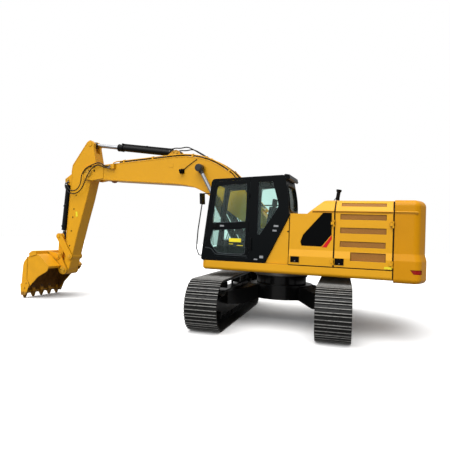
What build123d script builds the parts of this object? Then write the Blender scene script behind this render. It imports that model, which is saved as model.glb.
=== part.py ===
from build123d import *
from math import atan2, cos, degrees, hypot, pi, radians, sin, tan
import os

# Crawler excavator of about 34 tonnes. Millimetres.
# +X is forward along the boom, +Y the cab side, +Z up; the origin is on the ground at the swing axis.

# ---------------------------------------------------------------- clearances
seat_gap = 0.3            # between parts that seat on each other
panel_gap = 7.0           # round doors and lids
grille_rim = 12.0         # plain rim round a grille's slots
pin_play = 0.3            # radial play of a pin in its bush
side_play = 4.0           # beside a boss between its lugs

# ---------------------------------------------------------------- undercarriage
track_angle = 95.6        # the upper structure has been slewed by this much from the tracks
track_length = 5030.0     # over the shoes
track_height = 1090.0
track_gauge = 2598.0      # between the centre lines of the tracks
shoe_width = 690.0
shoe_count = 50
shoe_plate = 14.0         # thickness of a shoe's plate
grouser_height = 26.0
chain_height = 130.0      # from shoe plate to the rollers' rail
chain_width = 200.0
frame_half_width = 190.0
frame_bottom = 400.0
frame_top = 740.0
frame_half_length = 1555.0
skirt_bottom = 235.0
frame_skin = 22.0
roller_count = 8
roller_pitch = 420.0
roller_radius = 90.0
carrier_radius = 75.0
ring_tower_radius = 600.0
ring_tower_top = 1100.0
carbody_bottom = 570.0
carbody_top = 900.0
arm_width = 430.0
arm_angle = 57.0          # of the four arms, from the tracks' direction

# ---------------------------------------------------------------- swing bearing
ring_bore = 470.0
ring_split = 580.0
ring_outer = 680.0

# ---------------------------------------------------------------- upper structure
half_width = 1490.0
deck_bottom = 1240.0
deck_top = 1445.0
front_end = 1515.0
tail_joint = -2570.0      # where the counterweight meets the housing
bay_half = 490.0          # half the width of the boom's bay between the decks
bay_front = 620.0         # front edge of the centre frame
base_lug = 23.0           # thickness of the boom cylinders' base lugs
bracket_rear = -440.0     # rear edge of the boom brackets, in front of the engine housing
skirt_round = 70.0
deck_seam = 71.0          # seam of the deck's front end piece, from the front
seam_width = 8.0

# ---------------------------------------------------------------- boom, stick, bucket pins (X, Z)
boom_foot = (100.0, 1950.0)
boom_cyl_base = (800.0, 1380.0)
boom_cyl_eye = (2150.0, 3720.0)
stick_cyl_base = (2970.0, 4170.0)
stick_cyl_eye = (5680.0, 4500.0)
stick_pin = (5660.0, 3650.0)
bucket_cyl_base = (6500.0, 3470.0)
idler_top = (6630.0, 1810.0)
idler_pin = (6230.0, 1240.0)
link_pin = (6630.0, 1220.0)
bucket_pin = (6410.0, 830.0)

boom_half = 250.0
stick_half = 195.0
eye_slot = 92.0           # half width of the slot for the stick cylinder's rod eye
# slot in the boom's nose, which the stick's back edge swings into (X, Z)
nose_slot = [
    (5190, 3000), (5190, 3715), (5020, 3885), (4985, 3960), (4985, 4300), (6100, 4300), (6100, 3000),
]


# ================================================================ helpers
def side_form(outline, y_low, y_high, radii=None):
    """Solid with an outline in X and Z, between two Y stations."""
    if radii is None:
        wire = Polyline(*outline, close=True)
    else:
        wire = FilletPolyline(*outline, radius=radii, close=True)
    face = Plane.XZ * make_face(wire)
    return Pos(0, y_low, 0) * extrude(face, amount=y_high - y_low, dir=(0, 1, 0))


def plan_form(outline, z_low, z_high, radii=None):
    """Solid with an outline in X and Y, between two heights."""
    if radii is None:
        wire = Polyline(*outline, close=True)
    else:
        wire = FilletPolyline(*outline, radius=radii, close=True)
    return Pos(0, 0, z_low) * extrude(make_face(wire), amount=z_high - z_low, dir=(0, 0, 1))


def block(x_low, x_high, y_low, y_high, z_low, z_high):
    """Box between its six stations."""
    size = (x_high - x_low, y_high - y_low, z_high - z_low)
    middle = ((x_low + x_high) / 2, (y_low + y_high) / 2, (z_low + z_high) / 2)
    return Pos(*middle) * Box(*size)


def cross_bar(place, radius, y_low, y_high):
    """Round bar along Y through a place (X, Z)."""
    return Pos(place[0], (y_low + y_high) / 2, place[1]) * Rot(90, 0, 0) * Cylinder(radius, y_high - y_low)


def both_sides(solid):
    """A solid and its mirror image across the machine's middle plane."""
    return solid + mirror(solid, about=Plane.XZ)


def heading(start, end):
    """Angle above +X, in degrees, and the distance from one (X, Z) place to another."""
    dx, dz = end[0] - start[0], end[1] - start[1]
    return degrees(atan2(dz, dx)), hypot(dx, dz)


def strap(start, end, radius_start, radius_end, y_low, y_high):
    """Flat link with round ends, tangent to both bosses."""
    angle, length = heading(start, end)
    lean = degrees(atan2(radius_start - radius_end, length))
    top = radians(90 - lean)
    corners = [
        (radius_start * cos(top), radius_start * sin(top)),
        (length + radius_end * cos(top), radius_end * sin(top)),
        (length + radius_end * cos(top), -radius_end * sin(top)),
        (radius_start * cos(top), -radius_start * sin(top)),
    ]
    middle = side_form(corners, y_low, y_high)
    ends = cross_bar((0, 0), radius_start, y_low, y_high) + cross_bar((length, 0), radius_end, y_low, y_high)
    return Pos(start[0], 0, start[1]) * Rot(0, -angle, 0) * (middle + ends)


def bent_tube(points, radius, bend):
    """Round tube along straight runs joined by arcs."""
    path = FilletPolyline(*points, radius=bend)
    section = Plane(origin=path @ 0, z_dir=path % 0) * Circle(radius)
    return sweep(section, path=path)


def slotted_plate(x_low, x_high, z_low, z_high, y_low, y_high, pitch):
    """Grille plate with upright slots between a plain rim."""
    width, height = x_high - x_low, z_high - z_low
    count = int((width - 2 * grille_rim) / pitch)
    slots = GridLocations(pitch, 1, count, 1) * Rectangle(pitch * 0.6, height - 2 * grille_rim)
    sheet = Plane.XZ * (Rectangle(width, height) - slots)
    plate = extrude(sheet, amount=y_high - y_low, dir=(0, 1, 0))
    return Pos((x_low + x_high) / 2, y_low, (z_low + z_high) / 2) * plate


def grown_form(outline, amount, y_low, y_high):
    """Solid of an outline moved outwards by an amount, between two Y stations."""
    face = offset(make_face(Polyline(*outline, close=True)), amount=amount, kind=Kind.INTERSECTION)
    return Pos(0, y_low, 0) * extrude(Plane.XZ * face, amount=y_high - y_low, dir=(0, 1, 0))


def hose(points, radius):
    """Hose along straight runs joined by arcs as large as the runs allow."""
    corners = [Vector(*point) for point in points]
    runs = [end - start for start, end in zip(corners, corners[1:])]
    bends = []
    for before, after in zip(runs, runs[1:]):
        half_turn = radians(before.get_angle(after)) / 2
        bends.append(0.45 * min(before.length, after.length) / tan(half_turn))
    print("hose bends, mm:", [round(bend) for bend in bends])
    path = FilletPolyline(*points, radius=bends)
    return sweep(Plane(origin=path @ 0, z_dir=path % 0) * Circle(radius), path=path)


def write(solid, node):
    """Write one node to its own file."""
    export_step(solid, "parts/" + node + ".step")


os.makedirs("parts", exist_ok=True)


# ================================================================ undercarriage
def on_tracks(solid):
    """Turn a solid from the tracks' own direction to where they stand."""
    return Rot(0, 0, track_angle) * solid


def track_point(distance, height):
    """Place (U, Z) on the loop at a distance along the shoe plates, raised outwards."""
    base = track_height / 2 - grouser_height
    reach = (track_length - track_height) / 2
    total = 4 * reach + 2 * pi * base
    s = distance % total
    middle = track_height / 2
    if s < 2 * reach:
        return -reach + s, middle + base + height
    s -= 2 * reach
    if s < pi * base:
        turn = pi / 2 - s / base
        return reach + (base + height) * cos(turn), middle + (base + height) * sin(turn)
    s -= pi * base
    if s < 2 * reach:
        return reach - s, middle - base - height
    s -= 2 * reach
    turn = -pi / 2 - s / base
    return -reach + (base + height) * cos(turn), middle + (base + height) * sin(turn)


def loop_length():
    base = track_height / 2 - grouser_height
    return 2 * (track_length - track_height) + 2 * pi * base


def track():
    """One track: a closed loop of shoes with three grousers each, and the chain inside it."""
    pitch = loop_length() / shoe_count
    # share of the pitch, height above the plate
    shoe_profile = (
        (0.0, -shoe_plate * 0.6),
        (0.05, 0.0),
        (0.10, grouser_height),
        (0.15, grouser_height),
        (0.20, 0.0),
        (0.44, 0.0),
        (0.48, grouser_height),
        (0.53, grouser_height),
        (0.57, 0.0),
        (0.80, 0.0),
        (0.85, grouser_height),
        (0.90, grouser_height),
        (0.95, 0.0),
    )
    outside = [
        track_point((shoe + share) * pitch, height)
        for shoe in range(shoe_count)
        for share, height in shoe_profile
    ]
    inside = [track_point(shoe * pitch, -shoe_plate) for shoe in range(shoe_count)]
    rail = [track_point(shoe * pitch, -shoe_plate - chain_height) for shoe in range(shoe_count)]
    half_shoe, half_chain = shoe_width / 2, chain_width / 2
    shoes = side_form(outside, -half_shoe, half_shoe)
    shoes -= side_form(inside, -half_shoe, half_shoe)
    chain = side_form(inside, -half_chain, half_chain)
    chain -= side_form(rail, -half_chain, half_chain)
    return shoes + chain


rail_bottom = grouser_height + shoe_plate + chain_height
rail_radius = track_height / 2 - rail_bottom


def wheel_radius():
    """Radius of an idler or sprocket that runs inside the chain's faceted loop."""
    plate_radius = track_height / 2 - grouser_height
    half_link = loop_length() / shoe_count / plate_radius / 2
    return rail_radius * cos(half_link) - seat_gap


def track_frame():
    """Welded box over the rollers, with a fork for the idler and a seat for the final drive."""
    half, bevel = frame_half_width, 70.0
    section = [
        (-half, skirt_bottom), (-half, frame_top - bevel), (-half + bevel, frame_top),
        (half - bevel, frame_top), (half, frame_top - bevel), (half, skirt_bottom),
        (half - frame_skin, skirt_bottom), (half - frame_skin, frame_bottom),
        (-half + frame_skin, frame_bottom), (-half + frame_skin, skirt_bottom),
    ]
    face = Plane.YZ * make_face(Polyline(*section, close=True))
    beam = Pos(-frame_half_length, 0, 0) * extrude(face, amount=2 * frame_half_length, dir=(1, 0, 0))
    reach = (track_length - track_height) / 2
    fork = side_form(
        [(frame_half_length - 1, frame_bottom - 60), (reach + 110, track_height / 2 - 90),
         (reach + 110, track_height / 2 + 90), (frame_half_length - 1, frame_top - 75)],
        half - 40, half)
    forks = both_sides(fork)
    drive_seat = side_form(
        [(-frame_half_length + 1, frame_bottom - 60), (-reach, track_height / 2 - 150),
         (-reach, track_height / 2 + 150), (-frame_half_length + 1, frame_top - 75)],
        -half, -half + 45)
    drive_seat += cross_bar((-reach, track_height / 2), 200, -half, -half + 45)
    return beam + forks + drive_seat


def track_rollers():
    """Bottom rollers between the frame's skirts and two carrier rollers on top of it."""
    inner = frame_half_width - frame_skin - seat_gap
    height = rail_bottom + roller_radius + seat_gap
    rollers = []
    for number in range(roller_count):
        place = ((number - (roller_count - 1) / 2) * roller_pitch, height)
        roller = cross_bar(place, roller_radius, -inner, inner)
        for side in (-1, 1):
            low, high = sorted((side * (chain_width / 2 + 6), side * (chain_width / 2 + 34)))
            roller += cross_bar(place, roller_radius + 18, low, high)
        rollers.append(roller)
    top = track_height - rail_bottom - carrier_radius - 3
    for place_u in (-720.0, 720.0):
        carrier = cross_bar((place_u, top), carrier_radius, -chain_width / 2, chain_width / 2)
        stand = block(place_u - 60, place_u + 60, -chain_width / 2 - 36, -chain_width / 2 - 2,
                      frame_top + seat_gap, top + 50)
        shaft = cross_bar((place_u, top), 32, -chain_width / 2 - 20, 0)
        rollers.append(carrier + stand + shaft)
    return rollers


def drive_sprocket():
    """Toothed wheel bolted to the final drive, whose motor sits inside the track frame."""
    reach = (track_length - track_height) / 2
    centre = (-reach, track_height / 2)
    tip = wheel_radius()
    teeth = 19
    outline = []
    for tooth in range(teeth):
        # share of a tooth's pitch, radius
        for share, radius in ((0.0, tip - 48), (0.3, tip - 48), (0.42, tip), (0.58, tip), (0.7, tip - 48)):
            turn = 2 * pi * (tooth + share) / teeth
            outline.append((centre[0] + radius * cos(turn), centre[1] + radius * sin(turn)))
    wheel = side_form(outline, -40, 40)
    hub = cross_bar(centre, 215, -95, 150)
    cover = cross_bar(centre, 150, 149, 190)
    motor = cross_bar(centre, 150, -frame_half_width + 45 + seat_gap, -60)
    return wheel + hub + cover + motor


def idler():
    """Smooth front wheel with a centre flange, on a shaft in the frame's fork."""
    reach = (track_length - track_height) / 2
    centre = (reach, track_height / 2)
    tip = wheel_radius()
    inner = frame_half_width - 40 - seat_gap
    wheel = cross_bar(centre, tip, -70, 70)
    dish = cross_bar(centre, tip - 70, 45, 71)
    wheel -= dish
    wheel -= mirror(dish, about=Plane.XZ)
    return wheel + cross_bar(centre, 95, -inner, inner)


def car_body():
    """Centre box with four arms that arch down to the track frames, and the swing bearing's tower."""
    centre = Pos(0, 0, (carbody_bottom + carbody_top) / 2) * Cylinder(
        ring_tower_radius + 150, carbody_top - carbody_bottom)
    tower = Pos(0, 0, (carbody_top + ring_tower_top) / 2 - 1) * Cylinder(
        ring_tower_radius, ring_tower_top - carbody_top + 2)
    flange = Pos(0, 0, ring_tower_top - 15) * Cylinder(ring_tower_radius + 25, 30)
    body = centre + tower + flange
    inner_wall = track_gauge / 2 - frame_half_width - seat_gap
    reach = inner_wall / sin(radians(arm_angle))
    profile = [
        (200, carbody_bottom + 10), (reach * 0.55, carbody_bottom - 10), (reach * 0.82, 430),
        (reach + 260, 430), (reach + 260, 700), (reach * 0.80, 800), (reach * 0.5, carbody_top),
        (200, carbody_top),
    ]
    arm = side_form(profile, -arm_width / 2, arm_width / 2)
    for angle in (arm_angle, 180 - arm_angle, 180 + arm_angle, -arm_angle):
        body += Rot(0, 0, angle) * arm
    keep = block(-1600, 1600, -inner_wall, inner_wall, 0, 1200)
    body = body & keep
    well = Pos(0, 0, 1000) * Cylinder(ring_bore - 60, 400)
    return body - well


def slew_ring_inner():
    """Fixed race of the swing bearing, bolted to the tower."""
    height = 122.0
    ring = Cylinder(ring_split - seat_gap, height) - Cylinder(ring_bore, height)
    return Pos(0, 0, ring_tower_top + seat_gap + height / 2) * ring


def slew_ring_outer():
    """Turning race of the swing bearing, bolted under the revolving frame."""
    low, high = ring_tower_top + 28.0, deck_bottom - seat_gap
    ring = Cylinder(ring_outer, high - low) - Cylinder(ring_split, high - low)
    return Pos(0, 0, (low + high) / 2) * ring


# ================================================================ upper structure
def revolving_frame():
    """Centre frame between the decks, with the two boom brackets and the cylinder lugs."""
    floor = block(tail_joint + seat_gap, bay_front, -bay_half + seat_gap, bay_half - seat_gap,
                  deck_bottom, deck_top)
    inner, outer = boom_half + 8, boom_half + 8 + 50
    profile = [
        (bracket_rear, deck_top - 60), (bracket_rear, deck_top + 120), (boom_foot[0] - 170, boom_foot[1] + 90),
        (boom_foot[0], boom_foot[1] + 175), (boom_foot[0] + 150, boom_foot[1] + 90),
        (560, deck_top + 60), (bay_front - 1, deck_top - 60),
    ]
    bracket = side_form(profile, inner, outer, radii=[0, 40, 90, 120, 90, 60, 0])
    bracket += cross_bar(boom_foot, 150, inner, outer + 34)
    bracket -= cross_bar(boom_foot, 70 + pin_play, inner - 10, outer + 60)
    # lugs of the boom cylinders: an inner and an outer plate
    base_x, base_z = boom_cyl_base
    lug = [
        (bay_front - 60, deck_bottom), (base_x + 60, deck_bottom), (base_x + 110, base_z),
        (base_x + 40, base_z + 105), (base_x - 60, base_z + 95), (bay_front - 60, deck_top),
    ]
    lugs = side_form(lug, inner, inner + base_lug, radii=[0, 40, 60, 60, 40, 0])
    lugs += side_form(lug, bay_half - 6 - base_lug, bay_half - 6, radii=[0, 40, 60, 60, 40, 0])
    lugs -= cross_bar(boom_cyl_base, 50 + pin_play, 0, 600)
    frame = floor + both_sides(bracket) + both_sides(lugs)
    nose = block(bay_front - 1, base_x - 160, -bay_half + seat_gap, bay_half - seat_gap,
                 deck_bottom, deck_bottom + 30)
    return frame + nose


def deck(side):
    """Side deck with rounded lower edges: skirt, floor and front end in one welded box."""
    front = front_end if side > 0 else front_end - 60
    outline = [
        (tail_joint + seat_gap, bay_half), (front, bay_half), (front, half_width),
        (tail_joint + seat_gap, half_width),
    ]
    form = plan_form(outline, deck_bottom, deck_top, radii=[0, 0, 90, 0])
    low_edges = form.edges().group_by(Axis.Z)[0]
    outer = [
        edge for edge in low_edges
        if edge.center().Y > half_width - 60 or edge.center().X > front - 60
    ]
    form = fillet(outer, skirt_round)
    form -= block(front - deck_seam - seam_width, front - deck_seam, half_width - 6, half_width + 10,
                  deck_bottom, deck_top)
    if side < 0:
        form = mirror(form, about=Plane.XZ)
    return form


# housing stations
side_lower = half_width
side_upper = half_width - 35.0
bevel_low = 1640.0
bevel_high = 1780.0
crease = 2605.0
shoulder_top = 2825.0
shoulder_edge = 1270.0
crown = 2860.0
crown_half = 1000.0       # the top is flat between these
housing_front = -478.0
housing_wall = 60.0
step_top = 2540.0
step_back = -840.0
slope_back = -1210.0


def housing_form(inset):
    """Cross-section of the engine housing along X, with its stepped front; inset makes the inside."""
    low = deck_top + seat_gap if inset == 0 else deck_top - 10
    section = [
        (side_lower - inset, low), (side_lower - inset, bevel_low), (side_upper - inset, bevel_high),
        (side_upper - inset, crease), (shoulder_edge, shoulder_top - inset),
        (crown_half, crown - inset), (-crown_half, crown - inset), (-shoulder_edge, shoulder_top - inset),
        (-side_upper + inset, crease), (-side_upper + inset, bevel_high),
        (-side_lower + inset, bevel_low), (-side_lower + inset, low),
    ]
    soft = [0, 20, 20, 90, 120, 400, 400, 120, 90, 20, 20, 0]
    face = Plane.YZ * make_face(FilletPolyline(*section, radius=soft, close=True))
    back, front = tail_joint + seat_gap, housing_front
    if inset:
        back, front = back + inset, front - inset
    body = Pos(back, 0, 0) * extrude(face, amount=front - back, dir=(1, 0, 0))
    over = [
        (front + 50, step_top - inset), (step_back - inset * 0.3, step_top - inset),
        (slope_back - inset * 0.3, crown + 10 - inset), (slope_back - inset * 0.3, crown + 300),
        (front + 50, crown + 300),
    ]
    return body - side_form(over, -1600, 1600)


seam_front = housing_front
seam_middle = -1410.0
door_inner = 1240.0
door_bottom = deck_top + 12.0
right_seam = -700.0


def door_zone(x_low, x_high, side, grow):
    """Space of a side door in the housing's skin."""
    y_low, y_high = sorted((side * (door_inner - grow), side * 1700))
    return block(x_low - grow, x_high + grow, y_low, y_high, door_bottom - grow, 3200)


hinge_lift = 14.0         # the hinge axis stands proud of the door's face
hinge_radius = 12.0
hinge_pin = 6.0
post_width = 16.0         # fixed post between the two left doors


def hinge_fixed(place, x_dir, z_dir, lift):
    """Fixed half of a hinge: the pin and its two end knuckles on a lug. The door lies on local +X."""
    half = Cylinder(hinge_pin, 130)
    for dz in (-49.3, 49.3):
        half += Pos(0, 0, dz) * Cylinder(hinge_radius, 38)
        half += block(-20, 0, -lift - 6, 0, dz - 19, dz + 19)
        half -= Pos(0, 0, dz) * block(-3.5, 20, -200, -lift, -20, 20)
    return Plane(origin=place, x_dir=x_dir, z_dir=z_dir) * half


def hinge_moving(place, x_dir, z_dir, lift):
    """Moving half of a hinge: the middle knuckle, bored for the pin, on a lug of the door."""
    half = Cylinder(hinge_radius, 60)
    half += block(0, 55, -lift + 2, 0, -30, 30)
    half += block(20, 55, -lift - 6, 0, -30, 30)
    half -= Cylinder(hinge_pin + pin_play, 80)
    return Plane(origin=place, x_dir=x_dir, z_dir=z_dir) * half


def hinges(axis, spots, x_dir, z_dir, half):
    """All hinges of one door. Each spot is a place along the axis and its lift above the panel."""
    parts = []
    for along, lift in spots:
        place = tuple(a + along * z for a, z in zip(axis, z_dir))
        parts.append(half(place, x_dir, z_dir, lift))
    return parts


# doors of the housing: name, rear X, front X, side
side_doors = (
    ("service_door_front_left", seam_middle + post_width / 2 + panel_gap, seam_front + 60, 1),
    ("service_door_rear_left", tail_joint + 30, seam_middle - post_width / 2 - panel_gap, 1),
    ("service_door_right", tail_joint + 30, right_seam, -1),
)
hood_zone = (-2430.0, -1330.0, 880.0)      # rear X, front X, half width
side_spots = ((1560.0, hinge_lift), (2350.0, hinge_lift + side_lower - side_upper))
hood_spots = ((-600.0, hinge_lift), (600.0, hinge_lift))


def door_hinges(rear, side, half):
    """Hinges of a side door, in the gap at its rear edge and just outside its face."""
    axis = (rear - panel_gap / 2, side * (side_lower + hinge_lift), 0)
    spots = [(side * height, lift) for height, lift in side_spots]
    return hinges(axis, spots, (1, 0, 0), (0, 0, side), half)


def hood_hinges(half):
    """Hinges of the hood, at its front edge and just above it."""
    axis = (hood_zone[1] + panel_gap / 2, 0, crown + hinge_lift)
    return hinges(axis, hood_spots, (-1, 0, 0), (0, 1, 0), half)


def skin():
    """The whole housing skin, from which the doors and the hood are parted."""
    return housing_form(0) - housing_form(housing_wall)


# mesh window of the front left door, and the grilles and latches of both left doors (X, Z)
mesh_outline = [
    (-712, 1949), (-739, 1861), (-1155, 1858), (-1358, 2116), (-1350, 2588), (-1187, 2581), (-764, 2096),
]
latch_front = (-705.0, -513.0, 1501.0, 1632.0)
latch_rear = (-1618.0, -1431.0, 1489.0, 1632.0)
# grilles of the rear left door: rear X, front X, low Z, high Z, Y of the plate's face
side_grilles = (
    (-2421.0, -1524.0, 2432.0, 2544.0, 1440.0),
    (-2424.0, -1527.0, 2151.0, 2268.0, 1440.0),
    (-2413.0, -1526.0, 1871.0, 1988.0, 1440.0),
    (-2421.0, -1741.0, 1596.0, 1768.0, 1443.0),
)
grille_pitch = 46.0
grille_plate = 8.0
ledge = 14.0              # width of the ledge that a grille or mesh plate lies on
mesh_depth = 12.0         # the mesh lies this far under the door's face
mesh_plate = 10.0
# grille on the shoulder: front and rear end as distances behind the swing axis, low and high place up the slope
shoulder_grille = (1533.0, 2417.0, 138.0, 230.0)


def shoulder_plane():
    """Work plane on the housing's left shoulder: local X to the rear, local Y up the slope."""
    rise, run = shoulder_top - crease, side_upper - shoulder_edge
    return Plane(origin=(0, side_upper, crease), x_dir=(-1, 0, 0), z_dir=(0, rise, run))


def on_shoulder(near, far, up_low, up_high, low, high):
    """Block on the shoulder between its stations to the rear, up the slope and above the surface."""
    return shoulder_plane() * block(near, far, up_low, up_high, low, high)


def grille_cuts():
    """Openings and ledges for the grilles in the rear left door."""
    cuts = []
    for x_low, x_high, z_low, z_high, face in side_grilles:
        cuts.append(block(x_low - seat_gap, x_high + seat_gap, face - grille_plate - seat_gap, 1600,
                          z_low - seat_gap, z_high + seat_gap))
        cuts.append(block(x_low + ledge, x_high - ledge, 1300, 1600, z_low + ledge, z_high - ledge))
    near, far, up_low, up_high = shoulder_grille
    cuts.append(on_shoulder(near - seat_gap, far + seat_gap, up_low - seat_gap, up_high + seat_gap,
                            -grille_plate - ledge - seat_gap, 90))
    cuts.append(on_shoulder(near + ledge, far - ledge, up_low + ledge, up_high - ledge, -150, 90))
    return cuts


def rear_door_grilles():
    """Grille plates of the rear left door, one of them on the shoulder."""
    plates = [
        slotted_plate(x_low, x_high, z_low, z_high, face - grille_plate, face, grille_pitch)
        for x_low, x_high, z_low, z_high, face in side_grilles
    ]
    near, far, up_low, up_high = shoulder_grille
    flat = slotted_plate(near, far, up_low, up_high, 0, grille_plate, grille_pitch)
    laid = shoulder_plane() * Pos(0, 0, -ledge) * Rot(-90, 0, 0) * flat
    return plates + [laid]


latch_gap = 6.0
latch_floor = side_lower - 34.0


def latch_pocket(spot):
    """Pocket in a door for its latch."""
    x_low, x_high, z_low, z_high = spot
    return block(x_low, x_high, latch_floor, 1600, z_low, z_high)


def latch(spot):
    """Latch in its pocket: a base plate and a paddle to pull."""
    x_low, x_high, z_low, z_high = spot
    base = block(x_low + latch_gap, x_high - latch_gap, latch_floor + seat_gap, latch_floor + 12,
                 z_low + latch_gap, z_high - latch_gap)
    middle = (z_low + z_high) / 2
    paddle = block(x_low + 24, x_high - 24, latch_floor + 11, side_lower - 4, middle - 10, z_high - 20)
    hand_hold = block(x_low + 34, x_high - 34, latch_floor + 12, side_lower - 12, middle - 11, middle + 22)
    return base + paddle - hand_hold


def front_door_mesh():
    """Mesh plate in the window of the front left door."""
    face = side_upper - mesh_depth
    return side_form(mesh_outline, face - mesh_plate, face)


def front_door_cuts():
    """Mesh window with its ledge, and the latch pocket."""
    floor = side_upper - mesh_depth - mesh_plate - seat_gap
    # the inner front corner is bevelled, to turn past the cab
    front, inner = seam_front + panel_gap, door_inner - panel_gap
    corner = plan_form([(front, inner), (front, inner + 165), (front - 46, inner)], deck_top, crown)
    return [
        corner,
        grown_form(mesh_outline, seat_gap, floor, 1600),
        grown_form(mesh_outline, -ledge, 1300, 1600),
        latch_pocket(latch_front),
    ]


def fender_panel():
    """Side panel that fills the corner between the housing and the cab's slanted rear edge."""
    lean = (cab_rear_low[0] - cab_rear_bend[0]) / (cab_rear_bend[1] - cab_rear_low[1])
    front = cab_rear_low[0] - 1.5 * panel_gap * hypot(1, lean)
    rear = housing_front + panel_gap
    low = deck_top + seat_gap
    top = low + (front - rear) / lean
    outline = [(rear, low), (rear, top - 12), (rear + 12, top - 25), (front, low)]
    return side_form(outline, side_upper - housing_wall, side_upper)


def engine_housing(shell):
    """Fixed skin of the housing, open under the doors and the hood."""
    for name, rear, front, side in side_doors:
        shell -= door_zone(rear, front, side, panel_gap)
    rear, front, half = hood_zone
    shell -= block(rear - panel_gap, front + panel_gap, -half - panel_gap, half + panel_gap, 2600, 3200)
    for name, rear, front, side in side_doors:
        for part in door_hinges(rear, side, hinge_fixed):
            shell += part
    for part in hood_hinges(hinge_fixed):
        shell += part
    return shell


def side_door(shell, rear, front, side, cuts):
    """Door panel cut from the housing's own skin, with its openings."""
    door = shell & door_zone(rear, front, side, 0)
    for cut in cuts:
        door -= cut
    for part in door_hinges(rear, side, hinge_moving):
        door += part
    return door


def engine_hood(shell):
    """Lid over the engine, hinged at its front edge."""
    rear, front, half = hood_zone
    lid = shell & block(rear, front, -half, half, 2600, 3200)
    for part in hood_hinges(hinge_moving):
        lid += part
    return lid


lamp_outline = [(-2880, 1472), (-3085, 1472), (-3085, 1392), (-2940, 1392)]
lamp_inset = 6.0          # the lamps' lenses sit this far under the surface
lamp_depth = 30.0
lifting_spot = (-2850.0, 700.0)
lifting_radius, lifting_depth = 21.0, 90.0
tail_top = 2850.0


def tail_plan(inset):
    """Plan of the counterweight, pulled in by an amount."""
    front, side = tail_joint - seat_gap, half_width - inset
    return [
        (front, -side), (-3050 + inset, -side), (-3190 + inset, -1150), (-3235 + inset, 0),
        (-3190 + inset, 1150), (-3050 + inset, side), (front, side),
    ]


tail_radii = [0, 150, 300, 2500, 300, 150, 0]


def counterweight():
    """Cast counterweight: curved back, bevelled waist, rounded top, lamp pockets and lifting holes."""
    front = tail_joint - seat_gap
    lower = plan_form(tail_plan(0), 1200, bevel_low, tail_radii)
    upper = plan_form(tail_plan(35), bevel_high, tail_top, tail_radii)
    low_wire = FilletPolyline(*tail_plan(0), radius=tail_radii, close=True)
    high_wire = FilletPolyline(*tail_plan(35), radius=tail_radii, close=True)
    waist = loft([Pos(0, 0, bevel_low) * make_face(low_wire), Pos(0, 0, bevel_high) * make_face(high_wire)])
    body = lower + waist + upper
    top = [edge for edge in body.edges().group_by(Axis.Z)[-1] if edge.center().X < front - 5]
    body = fillet(top, 130)
    bottom = [edge for edge in body.edges().group_by(Axis.Z)[0] if edge.center().X < front - 5]
    body = fillet(bottom, 90)
    core = plan_form(tail_plan(lamp_inset + lamp_depth + seat_gap), 1300, 1560, tail_radii)
    pocket = grown_form(lamp_outline, 3, 1200, 1600) - core
    x, y = lifting_spot
    hole = Pos(x, y, tail_top - lifting_depth / 2) * Cylinder(lifting_radius, lifting_depth + 2)
    return body - both_sides(pocket) - both_sides(hole)


def tail_lamps():
    """Reflector lamps in the counterweight's pockets, curved like the surface round them."""
    skin_form = plan_form(tail_plan(lamp_inset), 1300, 1560, tail_radii)
    core = plan_form(tail_plan(lamp_inset + lamp_depth), 1300, 1560, tail_radii)
    lens = (skin_form - core) & side_form(lamp_outline, 1200, 1600)
    return [lens, mirror(lens, about=Plane.XZ)]


def engine_block():
    """Plain block for the closed-in engine, on its mounts over the centre frame."""
    return block(-2350, -1450, -420, 420, deck_top + seat_gap, 2350)


def cooling_pack():
    """Radiator and coolers behind the front left door."""
    return block(-1250, -900, 560, 1180, deck_top + seat_gap, 2300)


def main_pump():
    """Hydraulic pumps behind the right door."""
    return block(-2250, -1750, -1150, -520, deck_top + seat_gap, 1950)


# louvres of the right door: rows of slots (low Z of each row), their height and their stations in X
right_louvres = (2380.0, 2260.0, 2140.0, 2020.0, 1900.0)
louvre_height, louvre_span = 60.0, (-2300.0, -1500.0)


def right_door_cuts():
    """Cooling louvres through the right door."""
    rear, front = louvre_span
    return [block(rear, front, -1600, -1300, low, low + louvre_height) for low in right_louvres]


# right-hand tanks: rear X and front X
hydraulic_tank_span = (-470.0, 60.0)
fuel_tank_span = (68.0, 900.0)
tank_top = 2480.0
tank_inner = 560.0


def tank(span, top, cap_radius):
    """Tank with rounded outer edges and a filler cap on a neck."""
    outer = -half_width + 12
    outline = [(span[0], outer), (span[1], outer), (span[1], -tank_inner), (span[0], -tank_inner)]
    form = plan_form(outline, deck_top + seat_gap, top, radii=[30, 30, 10, 10])
    rim = form.edges().group_by(Axis.Z)[-1]
    form = fillet(rim, 24)
    middle = ((span[0] + span[1]) / 2, -half_width * 0.75)
    neck = Pos(*middle, top + 14) * Cylinder(cap_radius * 0.8, 32)
    cap = Pos(*middle, top + 42) * Cylinder(cap_radius, 30)
    return form + neck + chamfer(cap.edges().group_by(Axis.Z)[-1], 6)


toolbox_span = (908.0, 1400.0)
toolbox_top = 1900.0
toolbox_wall = 25.0
lid_thick = 30.0


toolbox_axis = (toolbox_span[0] + 36.5, 0, toolbox_top + lid_thick + hinge_lift)
toolbox_spots = ((780.0, hinge_lift), (1280.0, hinge_lift))


def tool_box():
    """Open box on the right front deck, under a hinged lid; its rear rim carries the hinges."""
    low, high = toolbox_span
    outer = block(low, high, -half_width + 12, -tank_inner, deck_top + seat_gap, toolbox_top)
    inner = block(low + toolbox_wall, high - toolbox_wall, -half_width + 12 + toolbox_wall,
                  -tank_inner - toolbox_wall, deck_top + 40, toolbox_top + 10)
    rim = block(low, low + 33, -half_width + 12, -tank_inner, toolbox_top - 10, toolbox_top + lid_thick)
    box = outer - inner + rim
    for part in hinges(toolbox_axis, toolbox_spots, (1, 0, 0), (0, -1, 0), hinge_fixed):
        box += part
    return box


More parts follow.
